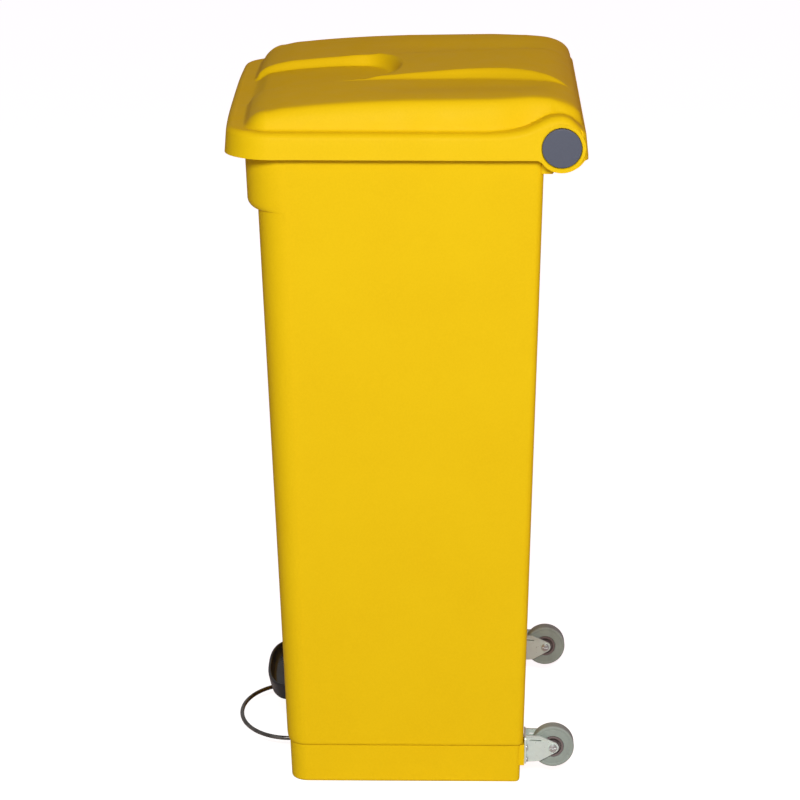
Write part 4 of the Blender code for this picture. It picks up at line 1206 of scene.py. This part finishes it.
def build_bolt(look, side, word):
    """The wheel's bolt with a domed, slotted head, and its chamfered nut."""
    low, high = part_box(f"wheel_bolt_{word}")
    x = side * WHEEL.x
    head = x + FORK_INNER + FORK_SHEET + 0.0003
    profile = [(0.0024, low.x), (0.0030, low.x + 0.0006), (0.0030, head), (0.0046, head)]
    profile += [(0.0048, head + 0.0003), (0.0048, head + 0.0014), (0.0042, high.x - 0.0006)]
    profile += [(0.0028, high.x - 0.0001), (0.0012, high.x)]
    bolt = solid_turned(f"wheel_bolt_{word}_visual", profile, WHEEL_AXIS, "X", 40)
    slot = rectangle(WHEEL.y - 0.006, WHEEL.y + 0.006, WHEEL.z - 0.0005, WHEEL.z + 0.0005)
    cut(bolt, extruded("slot", slot, "X", high.x - 0.0012, high.x + 0.001))
    dress(bolt, look["bolt"], "bin_body", f"wheel_bolt_{word}", sharp=30)

    low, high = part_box(f"wheel_nut_{word}")
    radius = 0.0055
    hexagon = arc((WHEEL.y, WHEEL.z), radius, 0, 300, 5)
    nut = extruded(f"wheel_nut_{word}_visual", hexagon, "X", low.x, high.x)
    cone = [(radius * 0.86, low.x - 0.0001), (radius * 1.05, low.x + 0.0011)]
    cone.append((radius * 1.05, high.x + 0.0001))
    combine(nut, [solid_turned("cone", cone, WHEEL_AXIS, "X", 48)], "INTERSECT")
    cut(nut, rod(0.0033, x - 0.03, x, WHEEL_AXIS, "X", 32))
    dress(nut, look["bolt"], "bin_body", f"wheel_nut_{word}", sharp=30)


def build_screw(look, node, axis, way, head_radius, shank_radius, body):
    """A pan-head screw with a cross recess. way is the head's direction along the axis."""
    index = "XYZ".index(axis)
    tip, top = [corner[index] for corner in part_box(node)][::way]
    others = list(middle(node))
    del others[index]
    head = top - way * 0.0020
    profile = [(shank_radius * 0.4, tip), (shank_radius, tip + way * 0.0015), (shank_radius, head)]
    profile += [(head_radius, head), (head_radius, head + way * 0.0006)]
    profile += [(head_radius * 0.88, head + way * 0.0013), (head_radius * 0.55, head + way * 0.0018)]
    profile.append((head_radius * 0.2, top))
    screw = solid_turned(f"{node}_visual", profile, placed(axis, 0, others), axis, 36)
    arms = []
    start, end = sorted((top - way * 0.0009, top + way * 0.001))
    for a, b in ((0.60 * head_radius, 0.13 * head_radius), (0.13 * head_radius, 0.60 * head_radius)):
        outline = rectangle(others[0] - a, others[0] + a, others[1] - b, others[1] + b)
        arms.append(extruded("arm", outline, axis, start, end))
    cut(screw, *arms)
    dress(screw, look["bolt"], body, node, sharp=30)


# ---- what stays from the frame


def dress_remaining_nodes(look):
    """Gives every CAD node that is still shown its finish."""
    finishes = (
        ("hinge_pin", "nylon"), ("pedal_axle", "wire"), ("axle_clip", "bolt"), ("pedal_bush", "nylon"),
        ("rod_clip", "bolt"), ("hoop_clip", "nylon"), ("wheel_bush", "bolt"),
    )
    for name, node in frame["nodes"].items():
        for start, finish in finishes:
            if name.startswith(start) and not node.hide_render:
                coat(node, look[finish])


# ---- camera, light and floor

KEY_PLACE = (4.3, 0.10, 2.80)
KEY_POWER = 169.0
ROOM_GLOW = (0.265, 0.100, 0.150)
ROOM_MIRRORED = (0.26, 0.26, 0.26)
ROOM_FRONT = 0.20
ROOM_SEEN = (1.0, 1.0, 1.0)
FLOOR_LIFT = 0.90


def make_camera():
    """A long lens, almost level with the side, a little above."""
    place = Vector((4.2364, 0.04555, 1.5682))
    yaw, tilt, roll = -0.01269, 0.2664, 0.000924
    forward = Vector((-math.cos(tilt) * math.cos(yaw), math.cos(tilt) * math.sin(yaw), -math.sin(tilt)))
    data = bpy.data.cameras.new("camera")
    data.sensor_width = 36.0
    data.lens = 164.04
    camera = new_object("camera", data)
    turn = forward.to_track_quat("-Z", "Y").to_matrix().to_4x4() @ Matrix.Rotation(roll, 4, "Z")
    camera.matrix_world = Matrix.Translation(place) @ turn
    data.clip_start, data.clip_end = 0.1, 100.0
    bpy.context.scene.camera = camera


def soft_light(name, place, target, width, height, power, colour):
    data = bpy.data.lights.new(name, "AREA")
    data.shape = "RECTANGLE"
    data.size, data.size_y = width, height
    data.energy = power
    data.color = colour
    light = new_object(name, data)
    light.location = place
    light.rotation_euler = (Vector(target) - Vector(place)).to_track_quat("-Z", "Y").to_euler()


def ray(tree, kind):
    return tree.nodes.new("ShaderNodeLightPath").outputs[f"Is {kind} Ray"]


def make_room():
    """A dim, warm room, darker in front, with a neutral mirror image, near white where the camera sees it."""
    world = bpy.data.worlds.new("studio")
    bpy.context.scene.world = world
    world.use_nodes = True
    tree = world.node_tree
    way = tree.nodes.new("ShaderNodeSeparateXYZ")
    tree.links.new(tree.nodes.new("ShaderNodeTexCoord").outputs["Generated"], way.inputs["Vector"])
    share = tree.nodes.new("ShaderNodeMapRange")
    share.inputs["From Min"].default_value, share.inputs["From Max"].default_value = -0.9, 0.4
    tree.links.new(way.outputs["Y"], share.inputs["Value"])
    in_front = tuple(part * ROOM_FRONT for part in ROOM_GLOW)
    glow = mixed(tree, share.outputs["Result"], in_front, ROOM_GLOW)
    shade = mixed(tree, ray(tree, "Glossy"), glow, ROOM_MIRRORED)
    shade = mixed(tree, ray(tree, "Camera"), shade, ROOM_SEEN)
    tree.links.new(shade, tree.nodes["Background"].inputs["Color"])


def make_floor():
    """A pale floor, lifted to near white for the camera, so that only a soft shadow shows."""
    bm = bmesh.new()
    bmesh.ops.create_grid(bm, x_segments=2, y_segments=2, size=14.0)
    floor = from_bmesh("floor", bm)
    n = Nodes("pale_floor")
    cloud = n.spread(n.noise(2.0, 2.0), 0.3, 0.7)
    n.link(n.mix(cloud, (0.70, 0.72, 0.71), (0.67, 0.69, 0.68)), "Base Color")
    n.set(Roughness=0.9, Specular_IOR_Level=0.0)
    n.shader.inputs["Emission Color"].default_value = (1.0, 1.0, 1.0, 1.0)
    n.link(n.times(ray(n.tree, "Camera"), FLOOR_LIFT), "Emission Strength")
    floor.data.materials.append(n.material)


def make_surroundings():
    """A pale floor, an even room and one big soft light, up and out on the camera's side."""
    make_room()
    make_floor()
    soft_light("key", KEY_PLACE, (0, 0, 0.42), 2.2, 0.9, KEY_POWER, (1.0, 1.0, 1.0))


def build():
    look = make_materials()
    build_tub(look)
    build_plinth(look)
    build_lid(look)
    build_hinge_caps(look)
    build_pad(look)
    build_lever(look)
    build_push_rod(look)
    build_guides(look)
    build_hoop(look)
    for side, word in SIDES:
        build_bracket(look, side, word)
        build_wheel(look, side, word)
        build_bolt(look, side, word)
        for number in (1, 2, 3, 4):
            build_screw(look, f"castor_screw_{word}_{number}", "Y", 1, 0.0033, 0.0020, "bin_body")
        build_screw(look, f"pad_screw_{word}", "Z", -1, 0.0042, 0.0020, "pedal")
        build_screw(look, f"hoop_screw_{word}", "Z", 1, 0.0030, 0.0015, "bin_body")
    dress_remaining_nodes(look)


bpy.context.scene.view_settings.view_transform = "Standard"
make_camera()
make_surroundings()
build()
